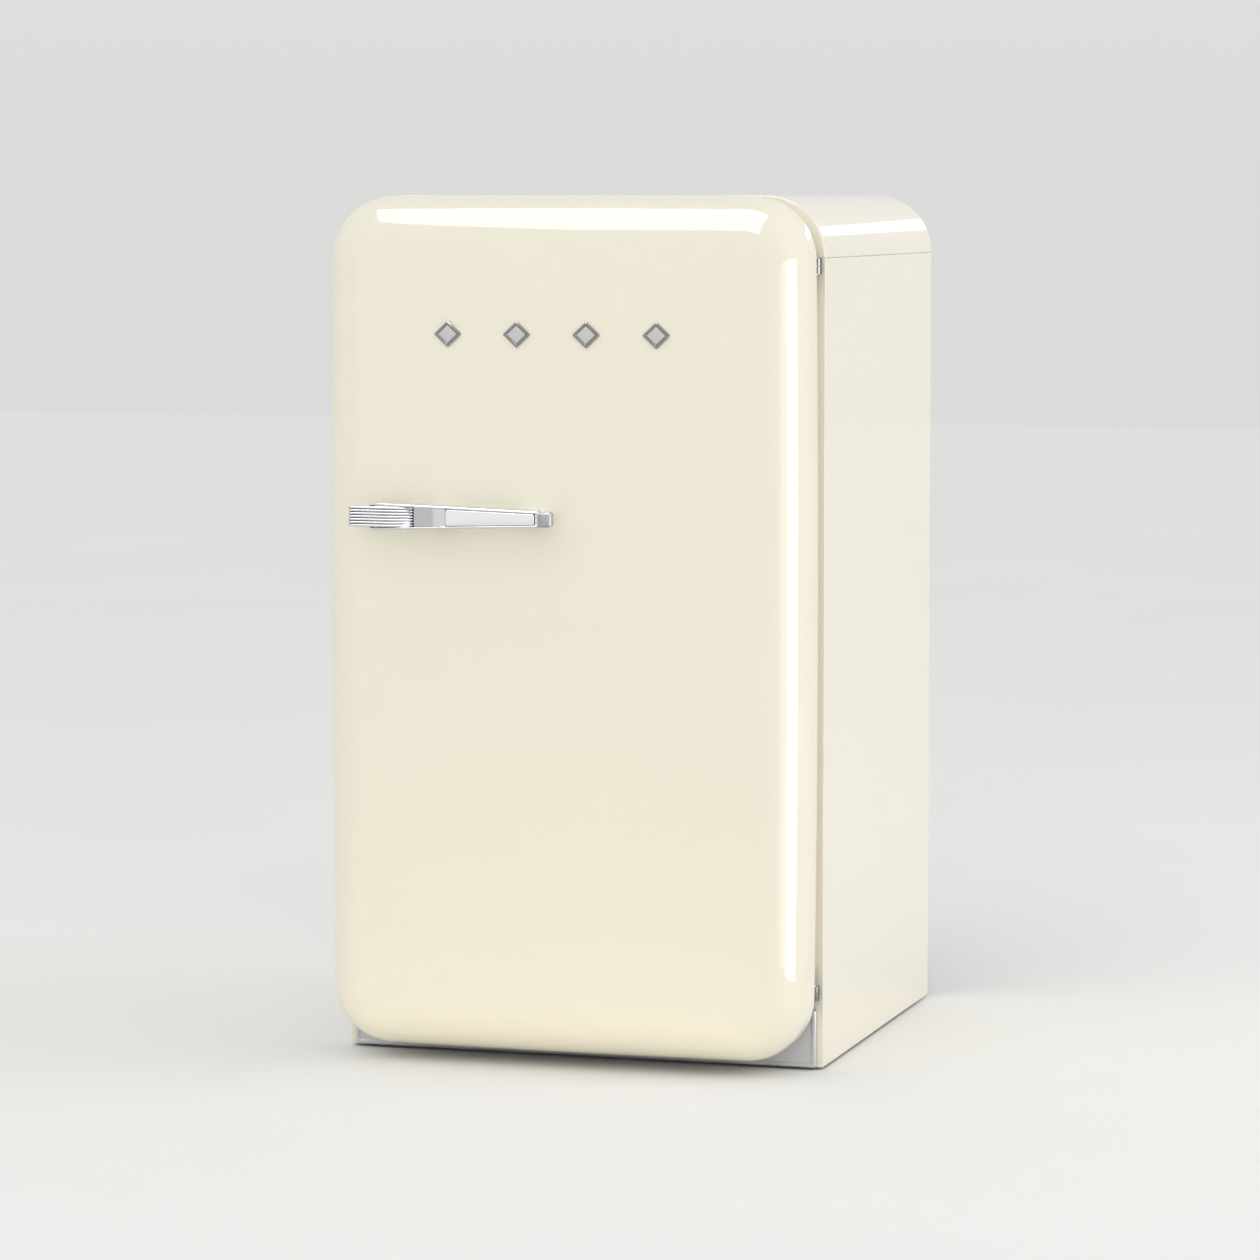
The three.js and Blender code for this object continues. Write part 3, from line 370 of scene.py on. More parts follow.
# ---------- mesh tools ----------
FOLD_ANGLE = 38    # degrees: sharper folds are shaded sharp, and get a real edge radius


def piece(name, shape, finish, body, replaces=(), sharp_angle=50, bevel=0.0, thickness=0.0):
    """One finished piece from (vertices, faces): outward normals, smooth with sharp folds, its body."""
    vertices, faces = shape
    mesh = bpy.data.meshes.new(name)
    mesh.from_pydata([tuple(v) for v in vertices], [], faces)
    built = bmesh.new()
    built.from_mesh(mesh)
    bmesh.ops.remove_doubles(built, verts=built.verts, dist=1e-6)
    bmesh.ops.recalc_face_normals(built, faces=built.faces)
    built.to_mesh(mesh)
    built.free()
    mesh.shade_smooth()
    mesh.set_sharp_from_angle(angle=math.radians(sharp_angle))
    thing = bpy.data.objects.new(name, mesh)
    bpy.context.collection.objects.link(thing)
    mesh.materials.append(MATERIALS[finish])
    if thickness:
        solidify = thing.modifiers.new("thickness", "SOLIDIFY")
        solidify.thickness = thickness
        solidify.offset = -1
    if bevel:
        add_bevel(thing, bevel, segments=3)
    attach(thing, body)
    if replaces:
        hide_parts(*replaces)


def add_bevel(thing, width, segments):
    bevel = thing.modifiers.new("edges", "BEVEL")
    bevel.width = width
    bevel.segments = segments
    bevel.limit_method = "ANGLE"
    bevel.angle_limit = math.radians(FOLD_ANGLE)
    bevel.use_clamp_overlap = True
    bevel.harden_normals = True


def smooth_shading_group():
    """A modifier group that shades faces smooth, except across sharp folds."""
    tree = bpy.data.node_groups.new("smooth_shading", "GeometryNodeTree")
    tree.interface.new_socket("Geometry", in_out="INPUT", socket_type="NodeSocketGeometry")
    tree.interface.new_socket("Geometry", in_out="OUTPUT", socket_type="NodeSocketGeometry")
    start = tree.nodes.new("NodeGroupInput")
    end = tree.nodes.new("NodeGroupOutput")
    faces = tree.nodes.new("GeometryNodeSetShadeSmooth")
    faces.domain = "FACE"
    edges = tree.nodes.new("GeometryNodeSetShadeSmooth")
    edges.domain = "EDGE"
    fold = tree.nodes.new("GeometryNodeInputMeshEdgeAngle")
    gentle = tree.nodes.new("FunctionNodeCompare")
    gentle.data_type = "FLOAT"
    gentle.operation = "LESS_THAN"
    gentle.inputs["B"].default_value = math.radians(FOLD_ANGLE)
    tree.links.new(start.outputs["Geometry"], faces.inputs["Geometry"])
    tree.links.new(faces.outputs["Geometry"], edges.inputs["Geometry"])
    tree.links.new(fold.outputs["Unsigned Angle"], gentle.inputs["A"])
    tree.links.new(gentle.outputs["Result"], edges.inputs["Shade Smooth"])
    tree.links.new(edges.outputs["Geometry"], end.inputs["Geometry"])
    return tree


SMOOTH_SHADING = smooth_shading_group()


def soften(node, finish, width):
    """Gives a CAD node its finish and real edge radii, without touching its mesh."""
    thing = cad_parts[node]
    weld = thing.modifiers.new("weld", "WELD")
    weld.merge_threshold = 1e-5
    flat = thing.modifiers.new("flat", "DECIMATE")
    flat.decimate_type = "DISSOLVE"
    flat.angle_limit = math.radians(0.5)
    smooth = thing.modifiers.new("smooth", "NODES")
    smooth.node_group = SMOOTH_SHADING
    add_bevel(thing, width, segments=2)
    triangles = thing.modifiers.new("triangles", "TRIANGULATE")
    triangles.min_vertices = 5
    triangles.keep_custom_normals = True
    thing.data.materials.clear()
    thing.data.materials.append(MATERIALS[finish])


def loft(rings, cap_start=True, cap_end=True):
    """Vertices and quads through equal closed loops, with optional flat ends."""
    count = len(rings[0])
    vertices = [vertex for ring in rings for vertex in ring]
    faces = []
    for level in range(len(rings) - 1):
        for step in range(count):
            a = level * count + step
            b = level * count + (step + 1) % count
            faces.append((a, b, b + count, a + count))
    if cap_start:
        faces.append(tuple(reversed(range(count))))
    if cap_end:
        last = (len(rings) - 1) * count
        faces.append(tuple(range(last, last + count)))
    return vertices, faces


def merged(*shapes):
    """Several (vertices, faces) pairs as one."""
    vertices, faces = [], []
    for shape_vertices, shape_faces in shapes:
        start = len(vertices)
        vertices += list(shape_vertices)
        faces += [tuple(index + start for index in face) for face in shape_faces]
    return vertices, faces


def rounded_loop(half_x, half_y, radius, corner_steps=10, side_steps=1):
    """A rounded rectangle round the origin, anticlockwise from the lower right corner's start."""
    corners = []
    for quarter, (side_x, side_y) in enumerate(((1, -1), (1, 1), (-1, 1), (-1, -1))):
        centre = (side_x * (half_x - radius), side_y * (half_y - radius))
        corners.append(arc_points(centre, radius, quarter - 1, quarter, corner_steps))
    points = []
    for index, arc in enumerate(corners):
        following = corners[(index + 1) % 4][0]
        points += arc
        for step in range(1, side_steps):
            share = step / side_steps
            points.append(tuple(a + (b - a) * share for a, b in zip(arc[-1], following)))
    return points


def arc_points(centre, radius, start, end, steps):
    """Points on an arc, with its start and end in quarter turns."""
    points = []
    for step in range(steps + 1):
        angle = QUARTER * (start + (end - start) * step / steps)
        points.append((centre[0] + radius * math.cos(angle), centre[1] + radius * math.sin(angle)))
    return points


def frame_sweep(rings):
    """A closed section carried round a frame: the last ring joins back to the first."""
    vertices, faces = loft(rings, cap_start=False, cap_end=False)
    count = len(rings[0])
    last = (len(rings) - 1) * count
    for step in range(count):
        following = (step + 1) % count
        faces.append((last + step, last + following, following, step))
    return vertices, faces


def lathe(profile, centre, axis="z", steps=40, scale=(1, 1)):
    """A turned shape from (radius, distance along the axis) pairs, closed at both ends."""
    rings = []
    for radius, along in profile:
        ring = []
        for angle in whole_turn(steps):
            a = radius * math.cos(angle) * scale[0]
            b = radius * math.sin(angle) * scale[1]
            offset = {"x": (along, a, b), "y": (a, along, b), "z": (a, b, along)}[axis]
            ring.append(Vector(centre) + Vector(offset))
        rings.append(ring)
    return loft(rings)


def tube(points, radius, sides=12):
    """A round pipe through points, with its section kept from twisting."""
    points = [Vector(point) for point in points]
    rings = []
    across = None
    for index, point in enumerate(points):
        before = points[max(index - 1, 0)]
        after = points[min(index + 1, len(points) - 1)]
        forward = (after - before).normalized()
        if across is None:
            helper = Vector((0, 0, 1)) if abs(forward.z) < 0.9 else Vector((1, 0, 0))
            across = forward.cross(helper).normalized()
        across = (across - forward * across.dot(forward)).normalized()
        other = forward.cross(across)
        ring = [point + (across * math.cos(angle) + other * math.sin(angle)) * radius
                for angle in whole_turn(sides)]
        rings.append(ring)
    return loft(rings)


def rounded_path(points, radius, steps=6):
    """The same path with its corners rounded."""
    points = [Vector(point) for point in points]
    path = [points[0]]
    for before, corner, after in zip(points, points[1:], points[2:]):
        reach_in = min(radius, (before - corner).length * 0.48)
        reach_out = min(radius, (after - corner).length * 0.48)
        start = corner + (before - corner).normalized() * reach_in
        end = corner + (after - corner).normalized() * reach_out
        for step in range(steps + 1):
            share = step / steps
            path.append(start.lerp(corner, share).lerp(corner.lerp(end, share), share))
    path.append(points[-1])
    return path


def slab(name, low, high, finish, body, bevel=0.0):
    """A plain block with optional edge radii."""
    corners = [(low[0], low[1]), (high[0], low[1]), (high[0], high[1]), (low[0], high[1])]
    shape = loft([[(x, y, z) for x, y in corners] for z in (low[2], high[2])])
    piece(name, shape, finish, body, sharp_angle=30, bevel=bevel)


def depth_to_y(depth):
    return FRONT - depth


# ---------- door shell ----------


def door_loop(inset):
    """The door's outline with gently bowed sides, moved in all round."""
    radius = max(DOOR_CORNER - inset, 2 * MM)
    loop = rounded_loop(HALF_WIDTH - inset, DOOR_HALF_HEIGHT - inset, radius, 16, 18)
    bowed = []
    for x, z in loop:
        side = 1 - DOOR_SIDE_BOW * (z / DOOR_HALF_HEIGHT) ** 2
        end = 1 - DOOR_TOP_BOW * (x / HALF_WIDTH) ** 2
        bowed.append((x * side, DOOR_MIDDLE + z * end))
    return bowed


def door_face_y(x, z):
    """The door's pressed front, away from its rounded border: it bulges most in the middle."""
    across = 1 - (x / HALF_WIDTH) ** 2
    along = 1 - ((z - DOOR_MIDDLE) / DOOR_HALF_HEIGHT) ** 2
    return depth_to_y(DOOR_EDGE + DOOR_CROWN * max(across, 0) * max(along, 0))


def make_door_shell():
    """The pressed shell: its return behind, rounded back edge, wide rounded border and crowned face."""
    rings = []

    def side_ring(inset, depth):
        rings.append([(x, depth_to_y(depth), z) for x, z in door_loop(inset)])

    def front_ring(loop, drop):
        rings.append([(x, door_face_y(x, z) + drop, z) for x, z in loop])

    side_ring(DOOR_REAR_RETURN, DOOR_BACK)
    for turn in quarter_turn(8):
        inset = DOOR_REAR_ROUND * (1 - math.sin(turn))
        side_ring(inset, DOOR_BACK + DOOR_REAR_ROUND * (1 - math.cos(turn)))
    side_ring(0, DOOR_BACK + 2 * DOOR_REAR_ROUND)
    for turn in quarter_turn(28):
        inset = DOOR_ROUNDOVER * (1 - math.cos(turn))
        front_ring(door_loop(inset), DOOR_ROUNDOVER * (1 - math.sin(turn)))
    innermost = door_loop(DOOR_ROUNDOVER)
    face_steps = 14
    for step in range(1, face_steps):
        share = 1 - step / face_steps
        front_ring([(x * share, DOOR_MIDDLE + (z - DOOR_MIDDLE) * share) for x, z in innermost], 0)
    vertices, faces = loft(rings, cap_start=False, cap_end=False)
    count = len(innermost)
    last = len(vertices) - count
    centre = len(vertices)
    vertices.append((0, door_face_y(0, DOOR_MIDDLE), DOOR_MIDDLE))
    faces += [(centre, last + step, last + (step + 1) % count) for step in range(count)]
    piece(
        "door_enamel_shell", (vertices, faces), "cream_enamel", DOOR,
        replaces=("door_outer_shell",), sharp_angle=60, thickness=ENAMEL_SHEET,
    )


# ---------- top cover ----------


def arch_points():
    """The cabinet's arch from the right seam, over the top, to the left seam, with its normals."""
    centre_z = TOP - COVER_RADIUS
    points = [((HALF_WIDTH, SEAM), (1, 0))]
    for side, start in ((1, 0), (-1, QUARTER)):
        centre_x = side * (HALF_WIDTH - COVER_RADIUS)
        for turn in quarter_turn(28):
            normal = (math.cos(start + turn), math.sin(start + turn))
            place = (centre_x + COVER_RADIUS * normal[0], centre_z + COVER_RADIUS * normal[1])
            points.append((place, normal))
    points.append(((-HALF_WIDTH, SEAM), (-1, 0)))
    return points


def make_top_cover():
    """One folded sheet: the arch, its rounded front edge and the flange behind the door seal."""
    fold = 2.2 * MM
    flange = 38 * MM
    support = MM    # a strip right beside each fold keeps the long faces evenly shaded
    strips = []
    for (x, z), (normal_x, normal_z) in arch_points():
        def at(inset, y):
            return (x - normal_x * inset, y, z - normal_z * inset)
        strip = [at(0, BACK), at(0, BACK - support), at(0, FRONT + fold + support), at(0, FRONT + fold)]
        for turn in quarter_turn(6)[1:]:
            strip.append(at(fold * (1 - math.cos(turn)), FRONT + fold * (1 - math.sin(turn))))
        strip.append(at(flange, FRONT))
        strips.append(strip)
    count = len(strips[0])
    vertices = [vertex for strip in strips for vertex in strip]
    faces = []
    for row in range(len(strips) - 1):
        for step in range(count - 1):
            a = row * count + step
            faces.append((a, a + 1, a + 1 + count, a + count))
    piece(
        "top_cover_enamel", (vertices, faces), "cream_enamel", CABINET,
        replaces=("top_cover",), sharp_angle=60, thickness=ENAMEL_SHEET,
    )


# ---------- plinth ----------


def make_plinth():
    """A pressed kick plate with rolled edges, standing a little proud of the cabinet."""
    low, high = box("plinth")
    middle, half = middle_and_half("plinth")
    roll = 2.6 * MM
    bead = 1.1 * MM
    corner = 3 * MM
    profile = [(0, high.y), (0, low.y + roll)]
    profile += arc_points((roll, low.y + roll), roll, -2, -1, 6)
    profile += [(roll + 1.6 * MM, low.y), (roll + 2.2 * MM, low.y + bead * 0.3),
                (roll + 2.8 * MM, low.y + bead), (roll + 3.4 * MM, low.y + bead)]
    rings = []
    for inset, y in profile:
        loop = rounded_loop(half.x - inset, half.z - inset, max(corner - inset, 0.3 * MM), 4)
        rings.append([(x, y, middle.z + z) for x, z in loop])
    piece(
        "plinth_plate", loft(rings, cap_start=False), "silver_paint", CABINET,
        replaces=("plinth",), thickness=0.8 * MM,
    )


# ---------- handle ----------
HANDLE_Z = 603 * MM
HOUSING_LEFT = -198 * MM
HOUSING_RIGHT = -9 * MM
GRIP_LEFT = -221 * MM
GRIP_RIGHT = -150 * MM
SCOOP_LEFT = -151.6 * MM
PANEL_LEFT = -112 * MM
HANDLE_FRONT = -335 * MM
HOUSING_FRONT = -333 * MM
HOUSING_BACK = -319 * MM
HOUSING_HALF_LEFT = 15 * MM
HOUSING_HALF_RIGHT = 8.8 * MM
RIM = 2.7 * MM
GRIP_POCKET = 10 * MM
PANEL_POCKET = 4 * MM
DIP_END = 0.9 * MM


def housing_half(x):
    """Half of the housing's height, which tapers to the right."""
    share = (x - HOUSING_LEFT) / (HOUSING_RIGHT - HOUSING_LEFT)
    return HOUSING_HALF_LEFT + share * (HOUSING_HALF_RIGHT - HOUSING_HALF_LEFT)


def dip_floor(x):
    """How deep the concave dip between the grip and the insert is at a place along it."""
    share = (x - SCOOP_LEFT) / (PANEL_LEFT - SCOOP_LEFT)
    return DIP_END + 6.6 * MM * (1 - share) ** 1.6


def housing_section(x, depth, shrink):
    """The housing across its length: two cheeks with rounded rims, and the floor between them."""
    half = housing_half(x)
    crest, back_round, lip, foot = mm(1.5, 4, 0.6, 0.3)
    inner = half - RIM
    upper = [(half - back_round, HOUSING_BACK)]
    upper += arc_points((half - back_round, HOUSING_BACK - back_round), back_round, 1, 0, 6)
    upper += arc_points((half - crest, HOUSING_FRONT + crest), crest, 0, -1, 6)
    upper += arc_points((inner + lip, HOUSING_FRONT + lip), lip, -1, -2, 4)
    upper += [(inner, HOUSING_FRONT + depth - foot), (inner - foot, HOUSING_FRONT + depth)]
    lower = [(-z, y) for z, y in reversed(upper)]
    share = (half - shrink) / half
    return [(x, y, HANDLE_Z + z * share) for z, y in upper + lower]


def make_handle_housing():
    """The housing's frame: a rounded nose, the grip's pocket, the dip and the insert's pocket."""
    nose = 2.4 * MM
    edge = 0.2 * MM
    stations = []
    for turn in quarter_turn(4):
        x = HOUSING_LEFT + nose * (1 - math.cos(turn))
        stations.append((x, GRIP_POCKET, nose * (1 - math.sin(turn))))
    stations.append((SCOOP_LEFT, GRIP_POCKET, 0))
    dip_steps = 18
    for step in range(dip_steps + 1):
        x = SCOOP_LEFT + edge + (PANEL_LEFT - SCOOP_LEFT - 2 * edge) * step / dip_steps
        stations.append((x, dip_floor(x), 0))
    stations += [(PANEL_LEFT, PANEL_POCKET, 0), (HOUSING_RIGHT - 2.2 * MM, PANEL_POCKET, 0)]
    stations += [(HOUSING_RIGHT - 2 * MM, DIP_END, 0), (HOUSING_RIGHT, DIP_END, 0)]
    shape = loft([housing_section(*station) for station in stations])
    piece("handle_frame", shape, "chrome", DOOR, replaces=("handle_housing",), sharp_angle=38)


def rib_block(name, finish, front, back, inset):
    """A block behind the ribs that slopes back where they dive into the dip."""
    low, high = box("handle_grip")
    bottom, top = low.z + inset, high.z - inset
    bend = GRIP_LEFT + (GRIP_RIGHT - GRIP_LEFT) * 0.72
    slope_end = min(front + 5 * MM, back - 0.2 * MM)
    stations = ((GRIP_LEFT + 0.3 * MM + inset, front), (bend, front), (GRIP_RIGHT - 2 * MM, slope_end))
    shape = loft([
        [(x, back, bottom), (x, back, top), (x, near, top), (x, near, bottom)]
        for x, near in stations
    ])
    piece(name, shape, finish, DOOR, sharp_angle=40)


def grip_rib(offset, radius):
    """One round rib: it starts square, dives into the dip and ends in a round tip."""
    dive_start = 0.62     # shares of the rib's length
    tip_start = 0.955
    chamfer = 0.86
    steps = 30
    rings = []
    for step in range(steps + 1):
        share = step / steps
        x = GRIP_LEFT + (GRIP_RIGHT - GRIP_LEFT) * share
        dive = max(0, (share - dive_start) / (1 - dive_start))
        size = radius * 0.84
        if share > tip_start:
            size *= math.sqrt(max(1 - ((share - tip_start) / 0.046) ** 2, 0.01))
        y = HANDLE_FRONT + radius + 6.6 * MM * dive ** 2
        z = HANDLE_Z + offset * (1 - 0.07 * dive ** 2)

        def ring(place, reach):
            return [(place, y + reach * math.cos(angle), z + reach * math.sin(angle))
                    for angle in whole_turn(16)]

        if step == 0:
            rings.append(ring(x, size * chamfer))
            rings.append(ring(x + 0.35 * MM, size))
        else:
            rings.append(ring(x, size))
    return loft(rings)


def make_handle_grip():
    """Seven round ribs on a block, with a dark block just behind them as painted shade in the grooves
    between them.
    """
    low, high = box("handle_grip")
    ribs = 7
    radius = (high.z - low.z) / ribs / 2
    rib_block("handle_rib_block", "chrome", HANDLE_FRONT + 2 * radius, high.y, 0)
    # A dark block just behind the ribs: painted shade in the grooves.
    rib_block("handle_rib_groove_painted_shade", "dark_print_and_painted_shade", HANDLE_FRONT + 1.35 * radius, high.y - 0.5 * MM, 0.4 * MM)
    shapes = [grip_rib(high.z - (2 * rib + 1) * radius - HANDLE_Z, radius) for rib in range(ribs)]
    piece("handle_ribs", merged(*shapes), "chrome", DOOR, replaces=("handle_grip",))


def panel_ring(left, right, inset, depth):
    """One outline of the tapering insert, with rounded corners, at a depth below the rims."""
    reach = 10 * MM
    ring = []
    for x, z in rounded_loop((right - left) / 2 - inset, reach, 2.2 * MM, 4):
        place = (left + right) / 2 + x
        height = z / reach * (housing_half(place) - RIM - inset)
        ring.append((place, HOUSING_FRONT + depth, HANDLE_Z + height))
    return ring


def make_handle_panel():
    """The bright insert: a tapering plate with a softly rounded edge, seated on a dark gasket that also
    paints shade into the gap round it.
    """
    left = PANEL_LEFT + 0.2 * MM
    right = HOUSING_RIGHT - 2.3 * MM
    gap = 0.6 * MM
    # The dark seat: a dark gasket, and painted shade in the gap round the insert.
    seat = pairs_mm((0.1, 3.9), (0.1, 1.9), (1.4, 1.7))
    shape = loft([panel_ring(left, right, inset, depth) for inset, depth in seat])
    piece("handle_dark_seat_and_painted_shade", shape, "dark_print_and_painted_shade", DOOR, sharp_angle=40)
    face = pairs_mm((0, 1.7), (0, 0.5), (0.1, 0.2), (0.35, 0.05), (0.7, 0.0))
    shape = loft([panel_ring(left - gap, right, gap + inset, depth) for inset, depth in face])
    piece("handle_insert", shape, "satin_chrome", DOOR, replaces=("handle_panel",))


def make_handle_end_cap():
    """A short barrel that closes the bar, rounded at its free end, with a bright ring before it."""
    low, high = box("handle_end_cap")
    middle, half = middle_and_half("handle_end_cap")

    def section(shift, inset):
        radius = 3.2 * MM - min(inset, 2.4 * MM)
        loop = rounded_loop(half.y - inset, half.z - inset, radius, 6)
        return [(low.x + shift, middle.y + y, HANDLE_Z + z) for y, z in loop]

    rings = [section(*pair) for pair in pairs_mm((1.2, 0.9), (1.4, 0.2), (1.8, 0))]
    nose = 3.6 * MM
    for turn in quarter_turn(8):
        shift = high.x - low.x - nose + nose * math.sin(turn)
        rings.append(section(shift, nose * 0.75 * (1 - math.cos(turn))))
    piece("handle_cap", loft(rings), "cap_steel", DOOR, replaces=("handle_end_cap",))
    collar = pairs_mm((-0.3, 0.9), (-0.3, 0.1), (0.0, -0.15), (0.9, -0.15), (1.2, 0.1), (1.2, 0.9))
    piece("handle_ring", loft([section(*pair) for pair in collar]), "chrome", DOOR)


def make_handle_post(node, base_flare):
    """A cast foot that widens into an oval flange where it meets the door."""
    middle, half = middle_and_half(node)
    reach = door_face_y(middle.x, HANDLE_Z) - 0.3 * MM - HOUSING_BACK
    # How far along the post each section is, and how much of the flange's flare it has.
    profile = ((-0.02, 0), (0.45, 0), (0.65, 0.12), (0.8, 0.4), (0.9, 0.75), (0.94, 1.0),
               (0.99, 1.0), (1.0, 0.9))
    rings = []
    for share, flare in profile:
        grow = base_flare * flare
        loop = rounded_loop(half.x + grow, half.z + grow, half.z + grow - 0.2 * MM, 8)
        rings.append([(middle.x + x, HOUSING_BACK + reach * share, HANDLE_Z + z) for x, z in loop])
    piece(node + "_cast", loft(rings), "chrome", DOOR, replaces=(node,))


# ---------- emblem ----------


def make_emblem(node):
    """A plain lozenge: a polished bevelled border round a satin field."""
    middle, half = middle_and_half(node)
    blunt = 0.06    # the tips' radius, as a share of the lozenge's half

    def lozenge(scale, rise):
        ring = []
        for tip in range(4):
            centre = (math.cos(QUARTER * tip) * (1 - blunt), math.sin(QUARTER * tip) * (1 - blunt))
            for across, up in arc_points(centre, blunt, tip - 0.5, tip + 0.5, 5):
                x = middle.x + across * half.x * scale
                z = middle.z + up * half.z * scale
                ring.append((x, door_face_y(x, z) - rise * MM, z))
        return ring

    # Each outline's size, as a share, and its height above the door in millimetres.
    border = ((1, 0.3), (1, 2), (0.98, 2.4), (0.9, 3.2), (0.8, 3.3), (0.76, 3.1), (0.72, 2.2), (0.7, 2))
    shape = loft([lozenge(scale, rise) for scale, rise in border])
    piece(node + "_border", shape, "emblem_edge", DOOR, replaces=(node,), sharp_angle=30)
    field = ((0.69, 2.1), (0.68, 2.35), (0.5, 2.5), (0.25, 2.6))
    shape = loft([lozenge(scale, rise) for scale, rise in field])
    piece(node + "_field", shape, "emblem_steel", DOOR)


# ---------- door gasket ----------
GASKET_HALF = 250 * MM
GASKET_WIDTH = 17 * MM
GASKET_CORNER = 30 * MM


def make_gasket():
    """A bellows seal: a magnet pocket on the cabinet side, folded walls and a dart on the door."""
    low, high = box("door_gasket")
    middle, half = middle_and_half("door_gasket")
    # The section, as shares of the gasket's width and of its depth.
    section = (
        (0.05, 0.0), (0.35, 0.0), (0.4, 0.1), (0.72, 0.12), (0.78, 0.2), (0.5, 0.27), (0.78, 0.36),
        (0.97, 0.44), (1.0, 0.52), (0.93, 0.6), (1.0, 0.68), (1.0, 0.94), (0.93, 1.0), (0.1, 1.0),
        (0.0, 0.94), (0.0, 0.66), (0.08, 0.58), (0.0, 0.5), (0.05, 0.4), (0.22, 0.3), (0.03, 0.2),
        (0.0, 0.08),
    )
    rings = []
    for across, along in section:
        inset = GASKET_WIDTH * across
        y = low.y + (high.y - low.y) * along
        loop = rounded_loop(GASKET_HALF - inset, half.z - inset, GASKET_CORNER - inset, 8)
        rings.append([(x, y, middle.z + z) for x, z in loop])
    piece("gasket_bellows", frame_sweep(rings), "white_rubber", DOOR, replaces=("door_gasket",))


# ---------- tubs, bins and the drawer ----------


def tub_rings(node, radius, wall, rim):
    """Rings of an open tub: fillet at the foot, a rolled rim outside, then down the inside."""
    middle, half = middle_and_half(node)
    height = 2 * half.z
    foot = min(4 * MM, radius * 0.5)
    rings = []

    def add(inset, z):
        edge = rim + inset
        loop = rounded_loop(half.x - edge, half.y - edge, max(radius - inset, 0.6 * MM), 8)
        rings.append([(middle.x + x, middle.y + y, middle.z - half.z + z) for x, y in loop])

    for turn in quarter_turn(4):
        add(foot * (1 - math.sin(turn)), foot * (1 - math.cos(turn)))
    lip = 2.6 * MM
    add(0, height - lip - 1.2 * MM)
    for out, down in ((-0.7, lip + 0.5 * MM), (-1, lip), (-1, 0.7 * MM), (-0.75, 0.2 * MM), (-0.3, 0)):
        add(out * rim, height - down)
    add(wall * 0.6, height)
    add(wall, height - 0.6 * MM)
    inner_foot = max(foot - wall, MM)
    for turn in quarter_turn(4):
        add(wall + inner_foot * (1 - math.cos(turn)), wall + inner_foot * (1 - math.sin(turn)))
    return rings


def make_tub(node, finish, body, radius, wall, rim):
    shape = loft(tub_rings(node, radius, wall, rim))
    piece(node + "_moulded", shape, finish, body, replaces=(node,), sharp_angle=45)


def make_bins():
    """Three clear bins, each with a satin trim strip along its front."""
    strip_margin = 26 * MM
    strip_half_height = 5 * MM
    for node in ("bottle_bin", "middle_bin", "upper_bin"):
        low, high = box(node)
        make_tub(node, "clear_plastic", DOOR, radius=16 * MM, wall=2 * MM, rim=1.4 * MM)
        level = low.z + (high.z - low.z) * 0.62
        strip_low = (low.x + strip_margin, high.y - 1.5 * MM, level - strip_half_height)
        strip_high = (high.x - strip_margin, high.y + 0.4 * MM, level + strip_half_height)
        slab(node + "_trim", strip_low, strip_high, "satin_chrome", DOOR, bevel=0.5 * MM)


DRAWER_HALF = 214 * MM
DRAWER_FRONT = -98 * MM
DRAWER_BOTTOM = 96 * MM
DRAWER_TOP = 244 * MM
DRAWER_WALL = 2.2 * MM
PULL_HALF = 80 * MM


def drawer_outline(inset, y):
    """Up one side, across the chamfered floor and up the other, at a depth."""
    chamfer_x, chamfer_z = mm(15, 12)
    half = DRAWER_HALF - inset
    low = DRAWER_BOTTOM + inset
    left = [(-half, DRAWER_TOP), (-half, low + chamfer_z),
            (-half + chamfer_x * 0.35, low + chamfer_z * 0.4), (-half + chamfer_x, low)]
    right = [(-x, z) for x, z in reversed(left)]
    return [(x, y, z) for x, z in left + right]


def make_drawer():
    """A clear drawer with chamfered floor edges, and a pull along its front."""
    back = box("crisper_drawer")[1].y
    # Four outlines: the outside's front and back, then the inside's front and back.
    rings = [drawer_outline(0, DRAWER_FRONT), drawer_outline(0, back)]
    rings += [drawer_outline(DRAWER_WALL, y) for y in (DRAWER_FRONT + DRAWER_WALL, back - DRAWER_WALL)]
    vertices = [vertex for ring in rings for vertex in ring]
    count = len(rings[0])
    last = count - 1
    faces = []
    for step in range(last):
        faces.append((step, step + 1, count + step + 1, count + step))
        faces.append((2 * count + step, 3 * count + step, 3 * count + step + 1, 2 * count + step + 1))
    for number in range(4):
        outline = range(number * count, (number + 1) * count)
        faces.append(tuple(reversed(outline)) if number in (0, 3) else tuple(outline))
    faces.append((0, 2 * count, 2 * count + last, last))
    faces.append((count, count + last, 3 * count + last, 3 * count))
    faces.append((0, count, 3 * count, 2 * count))
    faces.append((last, 2 * count + last, 3 * count + last, count + last))
    piece(
        "drawer_shell", (vertices, faces), "clear_plastic", "crisper_drawer",
        replaces=("crisper_drawer",), bevel=0.7 * MM,
    )
    pull_low = (-PULL_HALF, DRAWER_FRONT - 6 * MM, DRAWER_TOP - 12 * MM)
    pull_high = (PULL_HALF, DRAWER_FRONT - 0.2 * MM, DRAWER_TOP - 4 * MM)
    slab("drawer_pull", pull_low, pull_high, "satin_chrome", "crisper_drawer", bevel=2 * MM)


# ---------- cooling machinery ----------
COMPRESSOR_Y = 238 * MM


